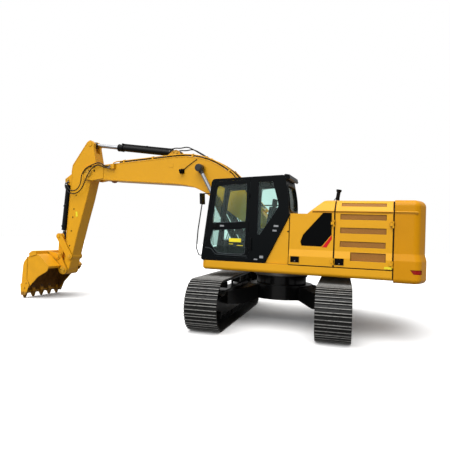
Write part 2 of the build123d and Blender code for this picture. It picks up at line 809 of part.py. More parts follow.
def toolbox_lid():
    """Step plate that closes the tool box, hinged at its rear edge."""
    low, high = toolbox_span
    lid = block(low + 40, high + 6, -half_width + 6, -tank_inner + 6,
                toolbox_top + seat_gap, toolbox_top + lid_thick)
    for part in hinges(toolbox_axis, toolbox_spots, (1, 0, 0), (0, -1, 0), hinge_moving):
        lid += part
    return lid


# ---------------------------------------------------------------- cab
cab_inner, cab_outer = 500.0, 1490.0
cab_wall = 60.0
cab_floor = 1445.0
# side outline of the cab (X, Z)
cab_front_low = (1550.0, cab_floor + 0.3)
cab_front_high = (1335.0, 3285.0)
cab_roof_rear = (-345.0, 3368.0)
cab_rear_pillar = (-442.0, 2852.0)
cab_rear_bend = (-462.0, 2500.0)
cab_rear_low = (54.0, cab_floor + 0.3)
cab_outline = [cab_front_low, cab_front_high, cab_roof_rear, cab_rear_pillar, cab_rear_bend, cab_rear_low]
cab_radii = [60, 90, 70, 200, 90, 30]
pillar_front = 430.0      # front edge of the B pillar
cab_spots = ((1700.0, hinge_lift), (2900.0, hinge_lift))
cab_axis = (pillar_front + panel_gap / 2, cab_outer + hinge_lift, 0)
pane = 8.0
pane_depth = 30.0         # panes lie this far under the cab's faces

door_rear = pillar_front + panel_gap
door_outline = [
    (1452, 1722), (1262, 3190), (1215, 3228), (door_rear, 3272), (door_rear, 1548), (1193, 1546), (1312, 1720),
]
door_window_high = [(1315, 2290), (1215, 3095), (1170, 3148), (500, 3190), (500, 2335)]
door_window_low = [(1300, 2135), (1352, 1850), (1160, 1612), (500, 1608), (500, 2185)]
rear_side_window = [(240, 3225), (-85, 3225), (-240, 2690), (240, 1965)]
right_window_front = [(1385, 1900), (1250, 3120), (520, 3160), (520, 1900)]
right_window_rear = [(440, 3160), (-120, 3190), (-260, 2720), (130, 2090), (440, 1950)]
front_window = (1720.0, 3190.0, 90.0)      # low Z, high Z, width of the pillars beside it
rear_window = (2600.0, 3160.0, 90.0)
roof_hatch = (350.0, 1050.0, 180.0)        # rear X, front X, distance from the sides
visor = [(-300, 3355), (-330, 3392), (-425, 3382), (-448, 3300), (-420, 3272), (-352, 3300)]


def front_x(height):
    """X of the cab's front face at a height."""
    share = (height - cab_front_low[1]) / (cab_front_high[1] - cab_front_low[1])
    return cab_front_low[0] + share * (cab_front_high[0] - cab_front_low[0])


def rear_x(height):
    """X of the cab's rear face at a height above its bend."""
    low, high = cab_rear_bend, cab_rear_pillar
    if height > cab_rear_pillar[1]:
        low, high = cab_rear_pillar, cab_roof_rear
    return low[0] + (height - low[1]) / (high[1] - low[1]) * (high[0] - low[0])


def cab_shell():
    """Pressed cab with its door opening, windows, floor, roof and rear visor."""
    shell = side_form(cab_outline, cab_inner, cab_outer, radii=cab_radii)
    shell -= grown_form(cab_outline, -cab_wall, cab_inner + cab_wall, cab_outer - cab_wall)
    outside = cab_outer - cab_wall - 20
    shell -= grown_form(door_outline, panel_gap, outside, cab_outer + 20)
    shell -= side_form(rear_side_window, outside, cab_outer + 20, radii=40)
    shell -= side_form(right_window_front, cab_inner - 20, cab_inner + cab_wall + 20, radii=50)
    shell -= side_form(right_window_rear, cab_inner - 20, cab_inner + cab_wall + 20, radii=50)
    low, high, pillar = front_window
    shell -= block(1100, 1700, cab_inner + pillar, cab_outer - pillar, low, high)
    low, high, pillar = rear_window
    shell -= block(-600, rear_x(low) + 200, cab_inner + pillar, cab_outer - pillar, low, high)
    rear, front, rim = roof_hatch
    shell -= block(rear, front, cab_inner + rim, cab_outer - rim, 3200, 3500)
    shell += side_form(visor, cab_inner + 20, cab_outer - 60)
    for part in hinges(cab_axis, cab_spots, (1, 0, 0), (0, 0, 1), hinge_fixed):
        shell += part
    return shell


def cab_door():
    """Door frame with an upper and a lower window, hinged on the B pillar."""
    door = side_form(door_outline, cab_outer - cab_wall, cab_outer)
    door -= side_form(door_window_high, cab_outer - 100, cab_outer + 20, radii=40)
    door -= side_form(door_window_low, cab_outer - 100, cab_outer + 20, radii=40)
    for part in hinges(cab_axis, cab_spots, (1, 0, 0), (0, 0, 1), hinge_moving):
        door += part
    return door


def cab_glazing():
    """Fixed panes of the cab, each just inside its opening."""
    low, high, pillar = front_window
    outer = [(front_x(low) - pane_depth, low), (front_x(high) - pane_depth, high)]
    inner = [(x - pane, z) for x, z in reversed(outer)]
    front = side_form(outer + inner, cab_inner + pillar, cab_outer - pillar)
    low, high, pillar = rear_window
    heights = (low, cab_rear_pillar[1], high)
    outer = [(rear_x(height) + pane_depth, height) for height in heights]
    inner = [(x + pane, z) for x, z in reversed(outer)]
    rear = side_form(outer + inner, cab_inner + pillar, cab_outer - pillar)
    hatch_rear, hatch_front, rim = roof_hatch
    right = cab_inner + pane_depth
    return [
        side_form(rear_side_window, cab_outer - pane_depth - pane, cab_outer - pane_depth, radii=40),
        side_form(right_window_front, right, right + pane, radii=50),
        side_form(right_window_rear, right, right + pane, radii=50),
        block(hatch_rear, hatch_front, cab_inner + rim, cab_outer - rim, 3300, 3300 + pane),
        front,
        rear,
    ]


def cab_door_glazing():
    """Upper and lower pane of the door."""
    outer = cab_outer - pane_depth
    return [side_form(window, outer - pane, outer, radii=40) for window in (door_window_high, door_window_low)]


def seat_base():
    """Seat pedestal with suspension box."""
    return block(150, 560, 780, 1210, cab_floor + cab_wall + 1, 1900)


def seat_cushion():
    """Seat and back cushion with the headrest."""
    low = 1900 + seat_gap
    cushion = side_form([(165, low), (640, low), (660, 1960), (620, 2020), (165, 1990)], 740, 1250,
                        radii=[0, 20, 20, 20, 0])
    back = side_form([(60, low), (165 - seat_gap, low), (165 - seat_gap, 1990), (50, 2700), (-60, 2700)],
                     740, 1250, radii=[20, 0, 0, 20, 20])
    head = side_form([(-50, 2700 + seat_gap), (30, 2700 + seat_gap), (10, 2880), (-60, 2880)], 860, 1130,
                     radii=20)
    return cushion + back + head


def console(y_low, y_high):
    """Console beside the seat: post, box, armrest and joystick."""
    box = block(200, 800, y_low, y_high, 2050, 2150) + block(300, 420, y_low, y_high, cab_floor + 61, 2050)
    armrest = block(120, 520, y_low, y_high, 2148, 2205)
    armrest = fillet(armrest.edges().filter_by(Axis.X), 16)
    middle = (y_low + y_high) / 2
    grip = Pos(700, middle, 2300) * Cylinder(27, 90)
    grip = fillet(grip.edges(), 12)
    return box + armrest + Pos(700, middle, 2215) * Cylinder(12, 150) + grip


def travel_control(y):
    """Pedal on the floor with its upright lever."""
    pedal = side_form([(1090, 1506), (1230, 1506), (1245, 1560), (1225, 1575), (1095, 1530)], y - 40, y + 40)
    lever = bent_tube([(1140, y, 1515), (1140, y, 1800), (1060, y, 2080)], 10, 80)
    return pedal + lever


def control_consoles():
    """Consoles beside the seat, the right one with the display, and the travel pedals with their levers."""
    display = Pos(1010, 700, 2335) * Rot(0, -14, 0) * Box(36, 170, 130)
    display += bent_tube([(785, 700, 2140), (930, 700, 2170), (1005, 700, 2290)], 11, 50)
    right = console(650, 728) + display
    return [console(1262, 1340), right, travel_control(930), travel_control(1060)]


# ================================================================ working arm
def boom():
    """Welded box boom: bent side plates, a foot tube and a forked nose round the stick."""
    foot_radius = 165.0
    outline = [
        (boom_foot[0] - 40, boom_foot[1] + 160), (1290, 3560), (1610, 3775), (1940, 3938), (2260, 4022),
        (2590, 4062), (2960, 4052), (5310, 3868), (5310, 3470), (4860, 3430), (2900, 3322), (2560, 3282),
        (2290, 3218), (2030, 3102),
        (boom_foot[0] + 120, boom_foot[1] - 115),
    ]
    body = side_form(outline, -boom_half, boom_half)
    body += cross_bar(boom_foot, foot_radius, -boom_half, boom_half)
    body -= cross_bar(boom_foot, 70 + pin_play, -400, 400)
    # nose: two cheeks round the stick
    cheek = [
        (5150, 3840), (5300, 3925), (5520, 3860), (stick_pin[0] + 120, stick_pin[1] + 175),
        (stick_pin[0] + 205, stick_pin[1]), (stick_pin[0] + 110, stick_pin[1] - 175), (5540, 3440),
        (5150, 3500),
    ]
    inner = stick_half + side_play
    cheeks = side_form(cheek, inner, boom_half + 12, radii=[20, 60, 60, 80, 120, 80, 60, 20])
    body += both_sides(cheeks)
    body -= side_form(nose_slot, -inner, inner)
    body -= cross_bar(stick_pin, 260, -inner, inner)
    body -= cross_bar(stick_pin, 60 + pin_play, -400, 400)
    # bracket of the stick cylinder on top
    lug = [(2760, 4030), (2880, 4230), (2960, 4262), (3060, 4240), (3330, 4010)]
    plate = side_form(lug, 94, 94 + 36, radii=[0, 50, 50, 50, 0])
    body += both_sides(plate)
    body -= cross_bar(stick_cyl_base, 50 + pin_play, -300, 300)
    # bosses at the boom cylinders' rod eyes
    body += cross_bar(boom_cyl_eye, 118, -boom_half - 22, boom_half + 22)
    return body


def stick():
    """Welded box stick with its cylinder lugs, pivot boss and bucket end."""
    half = stick_half
    outline = [
        (5565, 4400), (5560, 4520), (5680, 4620), (5790, 4560), (6270, 3900), (6300, 3700), (6290, 3560),
        (6395, 1900), (6395, 1600), (6440, 960), (6390, 760), (6320, 790), (6240, 900),
        (6150, 1250), (6040, 1720), (5930, 2160), (5730, 2890), (5600, 3460), (5500, 3560), (5450, 3900),
    ]
    soft = [60, 40, 60, 70, 80, 40, 80, 60, 60, 60, 20, 20, 30, 60, 60, 60, 60, 60, 40, 60]
    body = side_form(outline, -half, half, radii=soft)
    body += cross_bar(stick_pin, 215, -half, half)
    body += cross_bar(bucket_pin, 122, -half, half)
    body += cross_bar(idler_pin, 95, -half, half)
    body += both_sides(cross_bar(stick_cyl_eye, 62, half - 20, half + 14))
    # slot for the stick cylinder's rod eye
    body -= side_form([(5300, 4240), (5880, 4240), (6050, 4900), (5300, 4900)], -eye_slot, eye_slot)
    # lug of the bucket cylinder
    lug = [
        (6200, 3760), (6430, 3600), (bucket_cyl_base[0] + 85, 3500), (bucket_cyl_base[0] + 60, 3385),
        (6230, 3250),
    ]
    plate = side_form(lug, 84, 84 + 36, radii=[0, 60, 50, 50, 0])
    body += both_sides(plate)
    body -= cross_bar(bucket_cyl_base, 45 + pin_play, -300, 300)
    body -= cross_bar(bucket_cyl_base, 125, -84, 84)
    body -= cross_bar(stick_pin, 60 + pin_play, -400, 400)
    body -= cross_bar(bucket_pin, 50 + pin_play, -400, 400)
    body -= cross_bar(idler_pin, 45 + pin_play, -400, 400)
    return body


port_pipe = 13.0          # radius of the steel pipe along a barrel


def ram_barrel(spec):
    """Barrel along +X from its base pin: eye, tube, gland, and the pipe that feeds the rod's end."""
    tube, rod, reach, boss = spec["tube"], spec["rod"], spec["reach"], spec["boss"]
    half = spec["width"] / 2
    barrel = cross_bar((0, 0), boss, -half, half)
    start = boss * 0.6
    barrel += Pos((start + reach) / 2, 0, 0) * Rot(0, 90, 0) * Cylinder(tube, reach - start)
    barrel += Pos(reach - 75, 0, 0) * Rot(0, 90, 0) * Cylinder(tube + 14, 150)
    # pipe between the base port and the gland's port
    low, high = boss * 1.9, reach - 110
    top = tube + 14 + port_pipe + 4
    barrel += Pos((low + high) / 2, 0, top) * Rot(0, 90, 0) * Cylinder(port_pipe, high - low)
    for place in (low, (low + high) / 2, high):
        barrel += block(place - 22, place + 22, -22, 22, tube * 0.85, top + port_pipe + 4)
    depth = reach - boss - 60
    barrel -= Pos(reach - depth / 2 + 1, 0, 0) * Rot(0, 90, 0) * Cylinder(rod + pin_play, depth + 2)
    return barrel - cross_bar((0, 0), spec["pin"] + pin_play, -2 * half, 2 * half)


def ram_rod(spec, length):
    """Chromed rod with its eye; it reaches into the barrel far enough to stay in at full stroke."""
    start = spec["reach"] - spec["held"]
    half = spec["width"] / 2 - 3
    rod = Pos((start + length) / 2, 0, 0) * Rot(0, 90, 0) * Cylinder(spec["rod"], length - start)
    eye = cross_bar((length, 0), spec["eye_radius"], -half, half)
    neck = Pos(length - spec["eye_radius"] + 15, 0, 0) * Rot(0, 90, 0) * Cylinder(spec["rod"] + 14, 60)
    rod += eye + neck
    if spec["cap"]:
        rod += cross_bar((length, 0), spec["eye_radius"] * 0.75, half - 1, half + spec["cap"])
    return rod


def ram_place(spec, solid):
    """Lay a cylinder's part along its own axis, from its base pin."""
    angle, length = heading(spec["base"], spec["eye"])
    return Pos(spec["base"][0], spec["y"], spec["base"][1]) * Rot(0, -angle, 0) * solid


# the cylinders: base and eye (X, Z), Y, radii of tube, rod, base boss, base pin and rod eye,
# barrel's reach, width of the eyes, length of rod held in the barrel, thickness of the eye's cap
boom_ram = dict(base=boom_cyl_base, eye=boom_cyl_eye, y=371.0, tube=84.0, rod=52.0, reach=1860.0,
                width=170.0, boss=98.0, pin=50.0, eye_radius=98.0, held=700.0, cap=14.0)
stick_ram = dict(base=stick_cyl_base, eye=stick_cyl_eye, y=0.0, tube=86.0, rod=54.0, reach=1880.0,
                 width=176.0, boss=90.0, pin=50.0, eye_radius=88.0, held=800.0, cap=0.0)
bucket_ram = dict(base=bucket_cyl_base, eye=idler_top, y=0.0, tube=80.0, rod=48.0, reach=1480.0,
                  width=150.0, boss=84.0, pin=45.0, eye_radius=84.0, held=1130.0, cap=0.0)


def barrel_of(spec):
    """Barrel of one cylinder, in place."""
    return ram_place(spec, ram_barrel(spec))


def rod_of(spec):
    """Rod of one cylinder, in place."""
    length = heading(spec["base"], spec["eye"])[1]
    return ram_place(spec, ram_rod(spec, length))


idler_low, idler_high = 204.0, 240.0
fork_half = 84.0


def idler_links():
    """Two side links that guide the bucket cylinder's rod eye."""
    link = strap(idler_pin, idler_top, 92, 88, idler_low, idler_high)
    link -= cross_bar(idler_pin, 45 + pin_play, 0, 400)
    link += cross_bar(idler_top, 45, fork_half + 2, idler_high + 14)
    return [link, mirror(link, about=Plane.XZ)]


def power_link():
    """Forked link between the rod's eye and the bucket."""
    cheek = strap(idler_top, link_pin, 85, 84, fork_half, 130)
    web = strap(idler_top, link_pin, 85, 84, -fork_half - 1, fork_half + 1)
    cut = cross_bar(idler_top, 270, -fork_half - 1, fork_half + 1)
    link = both_sides(cheek) + (web - cut) + cross_bar(link_pin, 84, -165, 165)
    return link - cross_bar(idler_top, 45 + pin_play, -300, 300)


bucket_half = 730.0
ear_inner = 210.0
tooth_count = 5
# side cutter bolted beside the lip (X, Z)
side_cutter = [(7490, 400), (7255, 530), (7165, 385), (7290, 95), (7455, 85)]


def tooth(y):
    """Adapter on the lip with a tapered point."""
    adapter = side_form([(7395, 335), (7452, 335), (7462, 140), (7358, 140)], y - 56, y + 56)
    root = Pos(7410, y, 142) * Rectangle(104, 150)
    point = Pos(7392, y, 2) * Rectangle(20, 64)
    return adapter + loft([root, point])


def bucket():
    """Digging bucket: curved wrapper, side plates and cutters, lip with teeth, and ears."""
    outside = [
        (6505, 955), (7040, 1388), (7430, 1050), (7470, 400), (7440, 120), (7340, 110),
        (7140, 380), (6890, 640), (6580, 812),
    ]
    shell = side_form(outside, -bucket_half, bucket_half, radii=[25, 300, 330, 250, 10, 10, 300, 300, 25])
    hollow = [
        (6545, 925), (7035, 1345), (7392, 1035), (7430, 400), (7402, 60), (7300, 40),
        (6900, 300), (6500, 700),
    ]
    shell -= side_form(hollow, -bucket_half + 28, bucket_half - 28, radii=[10, 270, 300, 220, 5, 5, 5, 5])
    shell += both_sides(side_form(side_cutter, bucket_half - 1, bucket_half + 20))
    for number in range(tooth_count):
        shell += tooth((number / (tooth_count - 1) - 0.5) * (2 * bucket_half - 150))
    pin_x, pin_z = bucket_pin
    ear = [
        (pin_x - 110, pin_z + 20), (pin_x - 60, pin_z + 120), (6545, 1285), (6640, 1320), (6850, 1340),
        (7060, 1380), (6900, 1200), (6620, 900), (6540, 740), (pin_x, pin_z - 115), (pin_x - 100, pin_z - 50),
    ]
    plates = side_form(ear, ear_inner, ear_inner + 40)
    plates += cross_bar(bucket_pin, 118, ear_inner, ear_inner + 60)
    plates += cross_bar(link_pin, 92, ear_inner - 34, ear_inner + 60)
    plates += cross_bar(link_pin, 56, ear_inner + 59, ear_inner + 74)
    shell += both_sides(plates)
    shell -= cross_bar(bucket_pin, 50 + pin_play, -400, 400)
    return shell


# ================================================================ pins
collar_width = 12.0


def pins(table):
    """Pins of one body. Each row is place, radius, low Y, high Y and the radius of its end collars, or 0."""
    solids = []
    for place, radius, low, high, collar in table:
        pin = cross_bar(place, radius, low, high)
        if collar:
            pin += cross_bar(place, collar, low, low + collar_width)
            pin += cross_bar(place, collar, high - collar_width, high)
        solids.append(pin)
    return solids


foot_end = boom_half + 92 + seat_gap + collar_width
nose_end = boom_half + 12 + seat_gap + collar_width
base_end = 130 + seat_gap + collar_width
stick_base_end = 120 + seat_gap + collar_width
frame_pin_table = (
    (boom_foot, 70.0, -foot_end, foot_end, 105.0),
    (boom_cyl_base, 50.0, 256.0, 488.0, 0),
    (boom_cyl_base, 50.0, -488.0, -256.0, 0),
)
boom_pin_table = (
    (stick_pin, 60.0, -nose_end, nose_end, 105.0),
    (stick_cyl_base, 50.0, -base_end, base_end, 70.0),
)
stick_pin_table = (
    (bucket_cyl_base, 45.0, -stick_base_end, stick_base_end, 62.0),
    (idler_pin, 45.0, -254.0, 254.0, 0),
    (bucket_pin, 50.0, -286.0, 286.0, 78.0),
)


# ================================================================ hydraulic lines
pipe_radius = 15.0
hose_radius = 15.0
# pipe along the left edge of the boom's top, from its foot to the block at the nose (X, Y, Z)
pipe_route = [
    (510, 226, 2741), (1262, 226, 3600), (1588, 226, 3822), (1928, 226, 3988), (2252, 226, 4072),
    (2588, 226, 4112), (2965, 226, 4102), (4600, 226, 3974), (4735, 258, 3958), (4808, 290, 3915),
    (4810, 290, 3891),
]
# hose from the boom's foot to the stick cylinder's base, looped up over it
loop_route = [
    (530, 176, 2752), (840, 176, 3118), (1140, 176, 3460), (1470, 176, 3744), (1810, 176, 3932),
    (2140, 176, 4070), (2420, 176, 4235), (2610, 176, 4320), (2800, 176, 4280), (2985, 174, 4300),
    (3110, 160, 4240), (3150, 118, 4222),
]
# saddles on the boom's top: X, Z and slope there, half length, low and high Y, height
saddles = (
    (520.0, 2652.3, 49.7, 42.0, 140.0, 249.0, 84.0),
    (1400.0, 3633.9, 33.9, 25.0, 202.0, 250.0, 72.0),
    (1640.0, 3789.8, 26.3, 22.0, 150.0, 202.0, 66.0),
    (2060.0, 3969.5, 14.7, 22.0, 150.0, 202.0, 88.0),
    (2420.0, 4041.4, 6.9, 25.0, 202.0, 250.0, 72.0),
    (3600.0, 4001.9, -4.48, 25.0, 202.0, 250.0, 72.0),
    (4500.0, 3931.4, -4.48, 25.0, 202.0, 250.0, 72.0),
)


def boom_pipes():
    """Steel pipes along both edges of the boom's top, the saddles that hold the lines, and the nose blocks."""
    lines = hose(pipe_route, pipe_radius + seat_gap) + hose(loop_route, hose_radius + seat_gap)
    parts = [hose(pipe_route, pipe_radius)]
    for x, z, slope, half, low, high, height in saddles:
        saddle = Pos(x, 0, z) * Rot(0, -slope, 0) * block(-half, half, low, high, seat_gap, height)
        parts.append(saddle - lines)
    left_block = nose_block(1)
    for fitting in hose_ports():
        left_block += fitting
    return parts + [mirror(part, about=Plane.XZ) for part in parts] + [left_block, nose_block(-1)]


nose_block_span = (4770.0, 4850.0)
ports = ((285.0, 3850.0), (318.0, 3795.0))     # Y and Z of the hose ports in its front face
port_reach = 60.0
port_radius = 20.0


def nose_block(side):
    """Block on the boom's side that the hoses over the nose screw into."""
    low, high = sorted((side * (boom_half + seat_gap), side * (boom_half + 78)))
    return block(*nose_block_span, low, high, 3760, 3890)


def hose_ports():
    """Fittings in the left block. They aim at the stick's pin, so that the hoses' ends turn past them."""
    face = nose_block_span[1]
    fittings = []
    for y, z in ports:
        angle = heading((face, z), stick_pin)[0]
        stem = Pos(port_reach / 2 - 5, 0, 0) * Rot(0, 90, 0) * Cylinder(port_radius, port_reach + 10)
        fittings.append(Pos(face, y, z) * Rot(0, -angle, 0) * stem)
    return fittings


# hoses from the nose block to the bucket cylinder (X, Y, Z): the outer and the inner one
outer_hose = [
    (4908.7, 285, 3835.5), (5005.6, 285, 3811.6), (5115, 286, 3850), (5215, 287, 3915), (5330, 289, 3945),
    (5520, 291, 3880), (5740, 292, 3790),
    (5872, 292, 3600), (5880, 292, 3370), (5980, 291, 3190), (6150, 288, 3125), (6310, 275, 3190),
    (6400, 245, 3300), (6440, 200, 3400), (6440, 148, 3405),
]
inner_hose = [
    (4909.5, 318, 3784.3), (5007.9, 318, 3766.7), (5125, 320, 3812), (5235, 322, 3858), (5350, 325, 3862),
    (5510, 327, 3770), (5640, 328, 3590),
    (5730, 328, 3360), (5850, 328, 3150), (6020, 327, 3050), (6210, 318, 3060), (6370, 290, 3150),
    (6480, 240, 3280), (6505, 190, 3372), (6505, 148, 3380),
]


def boom_hoses():
    """Two hoses to the stick cylinder, looped up over its base, and the lamp's cable."""
    loop = hose(loop_route, hose_radius)
    cable = [(2650, 271, 3695), (2560, 264, 3780), (2450, 260, 3850), (2350, 260, 3925), (2280, 260, 3965)]
    return [loop, mirror(loop, about=Plane.XZ), hose(cable, 8)]


def stick_hoses():
    """Hoses over the nose of the boom to the bucket cylinder, a pair on the left."""
    return [hose(outer_hose, hose_radius), hose(inner_hose, hose_radius)]


def boom_lamp():
    """Work lamp on the boom's left side, on a bracket."""
    lens = Rot(0, 90, 0) * Cylinder(62, 70)
    lens = fillet(lens.edges().group_by(Axis.X)[0], 24)
    lamp = Pos(2690, boom_half + 80, 3650) * Rot(0, 14, 0) * lens
    bracket = block(2630, 2740, boom_half + seat_gap, boom_half + 12, 3600, 3720)
    return lamp + bracket + block(2660, 2700, boom_half + 10, boom_half + 40, 3630, 3670)


# ================================================================ trim
def handrails():
    """Grab rails on the right front deck, and the rail that guards the left mirror."""
    right = bent_tube([(1428, -1445, deck_top + seat_gap), (1428, -1445, 2420), (1000, -1445, 2900),
                       (300, -1445, 2900), (300, -1445, tank_top + seat_gap)], 17, 80)
    return [right]


def mirror_arm():
    """Tube from the deck's front up to the mirror, and back to the cab's front pillar."""
    arm = bent_tube([(1541, 1300, 1540), (1680, 1300, 1540), (1745, 1300, 1700), (1722, 1300, 2120),
                     (1640, 1300, 2760)], 13, 40)
    glass = Pos(1640, 1300, 2850) * Rot(0, 4, 0) * Box(60, 180, 250)
    stay = bent_tube([(1640, 1360, 2900), (1560, 1445, 2960), (1375, 1445, 2960)], 11, 30)
    return arm + glass + stay


def exhaust_stack():
    """Bent exhaust outlet on the hood."""
    top = crown + seat_gap
    return bent_tube([(-1200, -900, top), (-1200, -900, 3080), (-1230, -900, 3290)], 48, 60)


# ================================================================ assembly
root_offset = track_gauge / 2


def placed_pair(solids):
    """Like solids on both track frames."""
    placed = []
    for side in (-1, 1):
        placed += [on_tracks(Pos(0, side * root_offset, 0) * solid) for solid in solids]
    return Compound(children=placed)


write(on_tracks(car_body()), "car_body")
for side, name in ((-1, "right"), (1, "left")):
    write(on_tracks(Pos(0, side * root_offset, 0) * track()), "track_" + name)
    write(on_tracks(Pos(0, side * root_offset, 0) * track_frame()), "track_frame_" + name)
write(placed_pair(track_rollers()), "track_rollers")
write(placed_pair([drive_sprocket()]), "drive_sprockets")
write(placed_pair([idler()]), "idlers")
write(slew_ring_inner(), "slew_ring_inner")
write(slew_ring_outer(), "slew_ring_outer")

write(revolving_frame(), "revolving_frame")
write(deck(1), "left_deck")
write(deck(-1), "right_deck")
housing_skin = skin()
write(engine_housing(housing_skin), "engine_housing")
write(counterweight(), "counterweight")
write(engine_block(), "engine_block")
write(cooling_pack(), "cooling_pack")
write(main_pump(), "main_pump")
write(Compound(children=tail_lamps()), "tail_lamps")
write(tank(hydraulic_tank_span, tank_top, 55), "hydraulic_tank")
write(tank(fuel_tank_span, tank_top, 70), "fuel_tank")
write(tool_box(), "tool_box")
write(toolbox_lid(), "tool_box_lid")
write(engine_hood(housing_skin), "engine_hood")
door_cuts = (front_door_cuts(), grille_cuts() + [latch_pocket(latch_rear)], right_door_cuts())
for (name, rear, front, side), cuts in zip(side_doors, door_cuts):
    write(side_door(housing_skin, rear, front, side, cuts), name)
write(front_door_mesh(), "front_door_mesh")
write(latch(latch_front), "front_door_latch")
write(Compound(children=rear_door_grilles()), "rear_door_grilles")
write(latch(latch_rear), "rear_door_latch")
write(fender_panel(), "fender_panel")
write(cab_shell(), "cab_shell")
write(cab_door(), "cab_door")
write(Compound(children=cab_glazing()), "cab_glazing")
write(Compound(children=cab_door_glazing()), "cab_door_glazing")
write(seat_base(), "seat_base")
write(seat_cushion(), "seat_cushion")
write(Compound(children=control_consoles()), "control_consoles")
write(Compound(children=handrails()), "handrails")
write(mirror_arm(), "cab_mirror")
write(exhaust_stack(), "exhaust_stack")
write(Compound(children=pins(frame_pin_table)), "frame_pins")

write(boom(), "boom")
write(Compound(children=pins(boom_pin_table)), "boom_pins")
write(Compound(children=boom_pipes()), "boom_pipes")
write(Compound(children=boom_hoses()), "boom_hoses")
write(Compound(children=stick_hoses()), "stick_hoses")
write(boom_lamp(), "boom_lamp")
write(stick(), "stick")
write(Compound(children=pins(stick_pin_table)), "stick_pins")
for name, spec, sides in (("boom_cylinder", boom_ram, (1, -1)), ("stick_cylinder", stick_ram, (1,)),
                          ("bucket_cylinder", bucket_ram, (1,))):
    barrel, rod = barrel_of(spec), rod_of(spec)
    if len(sides) == 2:
        write(Compound(children=[barrel, mirror(barrel, about=Plane.XZ)]), name + "_barrels")
        write(Compound(children=[rod, mirror(rod, about=Plane.XZ)]), name + "_rods")
    else:
        write(barrel, name + "_barrel")
        write(rod, name + "_rod")
write(Compound(children=idler_links()), "idler_links")
write(power_link(), "power_link")
write(bucket(), "bucket")
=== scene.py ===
import bpy, bmesh, math
from mathutils import Matrix, Vector


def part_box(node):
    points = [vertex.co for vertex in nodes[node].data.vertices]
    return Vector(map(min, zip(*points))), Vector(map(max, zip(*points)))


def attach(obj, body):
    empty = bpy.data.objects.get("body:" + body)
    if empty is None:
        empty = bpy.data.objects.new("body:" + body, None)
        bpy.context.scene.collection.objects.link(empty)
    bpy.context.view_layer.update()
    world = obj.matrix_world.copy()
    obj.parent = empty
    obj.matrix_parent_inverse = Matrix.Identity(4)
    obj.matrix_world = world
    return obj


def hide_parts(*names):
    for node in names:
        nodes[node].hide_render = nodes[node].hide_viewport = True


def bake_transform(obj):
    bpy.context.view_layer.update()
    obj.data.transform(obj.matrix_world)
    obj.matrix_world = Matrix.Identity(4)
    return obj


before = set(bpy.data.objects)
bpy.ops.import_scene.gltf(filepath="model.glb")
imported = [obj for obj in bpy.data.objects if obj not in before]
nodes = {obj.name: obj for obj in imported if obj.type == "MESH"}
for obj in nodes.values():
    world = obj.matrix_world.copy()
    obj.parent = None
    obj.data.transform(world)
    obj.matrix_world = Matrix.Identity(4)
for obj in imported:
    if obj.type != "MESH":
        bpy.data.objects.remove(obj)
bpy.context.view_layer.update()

# ================================================================ view
# The machine stands with its boom to the left and its cab side near, seen from standing height with a
# normal lens.
camera_place = Vector((-2.50, 10.95, 2.07))
camera_yaw, camera_pitch, camera_roll = 0.353, 0.018, 0.035
look = Vector((math.sin(camera_yaw) * math.cos(camera_pitch),
    -math.cos(camera_yaw) * math.cos(camera_pitch), math.sin(camera_pitch)))
level_right = look.cross(Vector((0, 0, 1))).normalized()
level_up = level_right.cross(look)
right = level_right * math.cos(camera_roll) + level_up * math.sin(camera_roll)
up = -level_right * math.sin(camera_roll) + level_up * math.cos(camera_roll)
camera_data = bpy.data.cameras.new("view")
camera_data.lens, camera_data.sensor_width = 36.0, 36.0
camera = bpy.data.objects.new("view", camera_data)
camera.matrix_world = Matrix.Translation(camera_place) @ Matrix((right, up, -look)).transposed().to_4x4()
bpy.context.collection.objects.link(camera)
bpy.context.scene.camera = camera
bpy.context.scene.view_settings.view_transform = "Standard"


# ================================================================ studio floor and light
# A pale floor that runs out to white, a broad high lamp from the front left, and a sky that is bright
# overhead and dim near the ground, so that undersides stay dark.
def node_adder(tree):
    """Function that adds a shader node; nodes, sockets or values go in by place or by name."""
    def fill(socket, value):
        if isinstance(value, bpy.types.Node):
            value = next(way for way in value.outputs if way.enabled)
        if isinstance(value, bpy.types.NodeSocket):
            tree.links.new(value, socket)
        else:
            socket.default_value = value

    def add(kind, *wires, **values):
        node = tree.nodes.new("ShaderNode" + kind)
        for key, value in values.items():
            label = key.replace("_", " ")
            if label in node.inputs:
                fill(node.inputs[label], value)
            else:
                setattr(node, key, value)
        for socket, value in zip(node.inputs, wires):
            fill(socket, value)
        return node
    return add


def blank_material(name):
    """Material without nodes, and the function that adds them."""
    material = bpy.data.materials.new(name)
    material.use_nodes = True
    material.node_tree.nodes.clear()
    return material, node_adder(material.node_tree)


def seen_directly(add):
    """1 for rays from the eye, also through glass, else 0."""
    rays = add("LightPath")
    return add("Math", rays.outputs["Is Camera Ray"], rays.outputs["Is Transmission Ray"],
        operation="MAXIMUM")


floor_reach = 60.0
floor_mesh = bpy.data.meshes.new("studio_floor")
floor_mesh.from_pydata([(x * floor_reach, y * floor_reach, 0) for x,
    y in ((-1, -1), (1, -1), (1, 1), (-1, 1))], [], [(0, 1, 2, 3)])
studio_floor = bpy.data.objects.new("studio_floor", floor_mesh)
bpy.context.collection.objects.link(studio_floor)
floor_paint, add = blank_material("floor_paint")
white_floor = add("AddShader", add("BsdfDiffuse", Color=(0.93, 0.93, 0.93, 1)),
    add("Emission", Color=(1, 1, 1, 1), Strength=0.06))
dim_floor = add("BsdfDiffuse", Color=(0.24, 0.24, 0.24, 1))
add("OutputMaterial", Surface=add("MixShader", seen_directly(add), dim_floor, white_floor))
floor_mesh.materials.append(floor_paint)

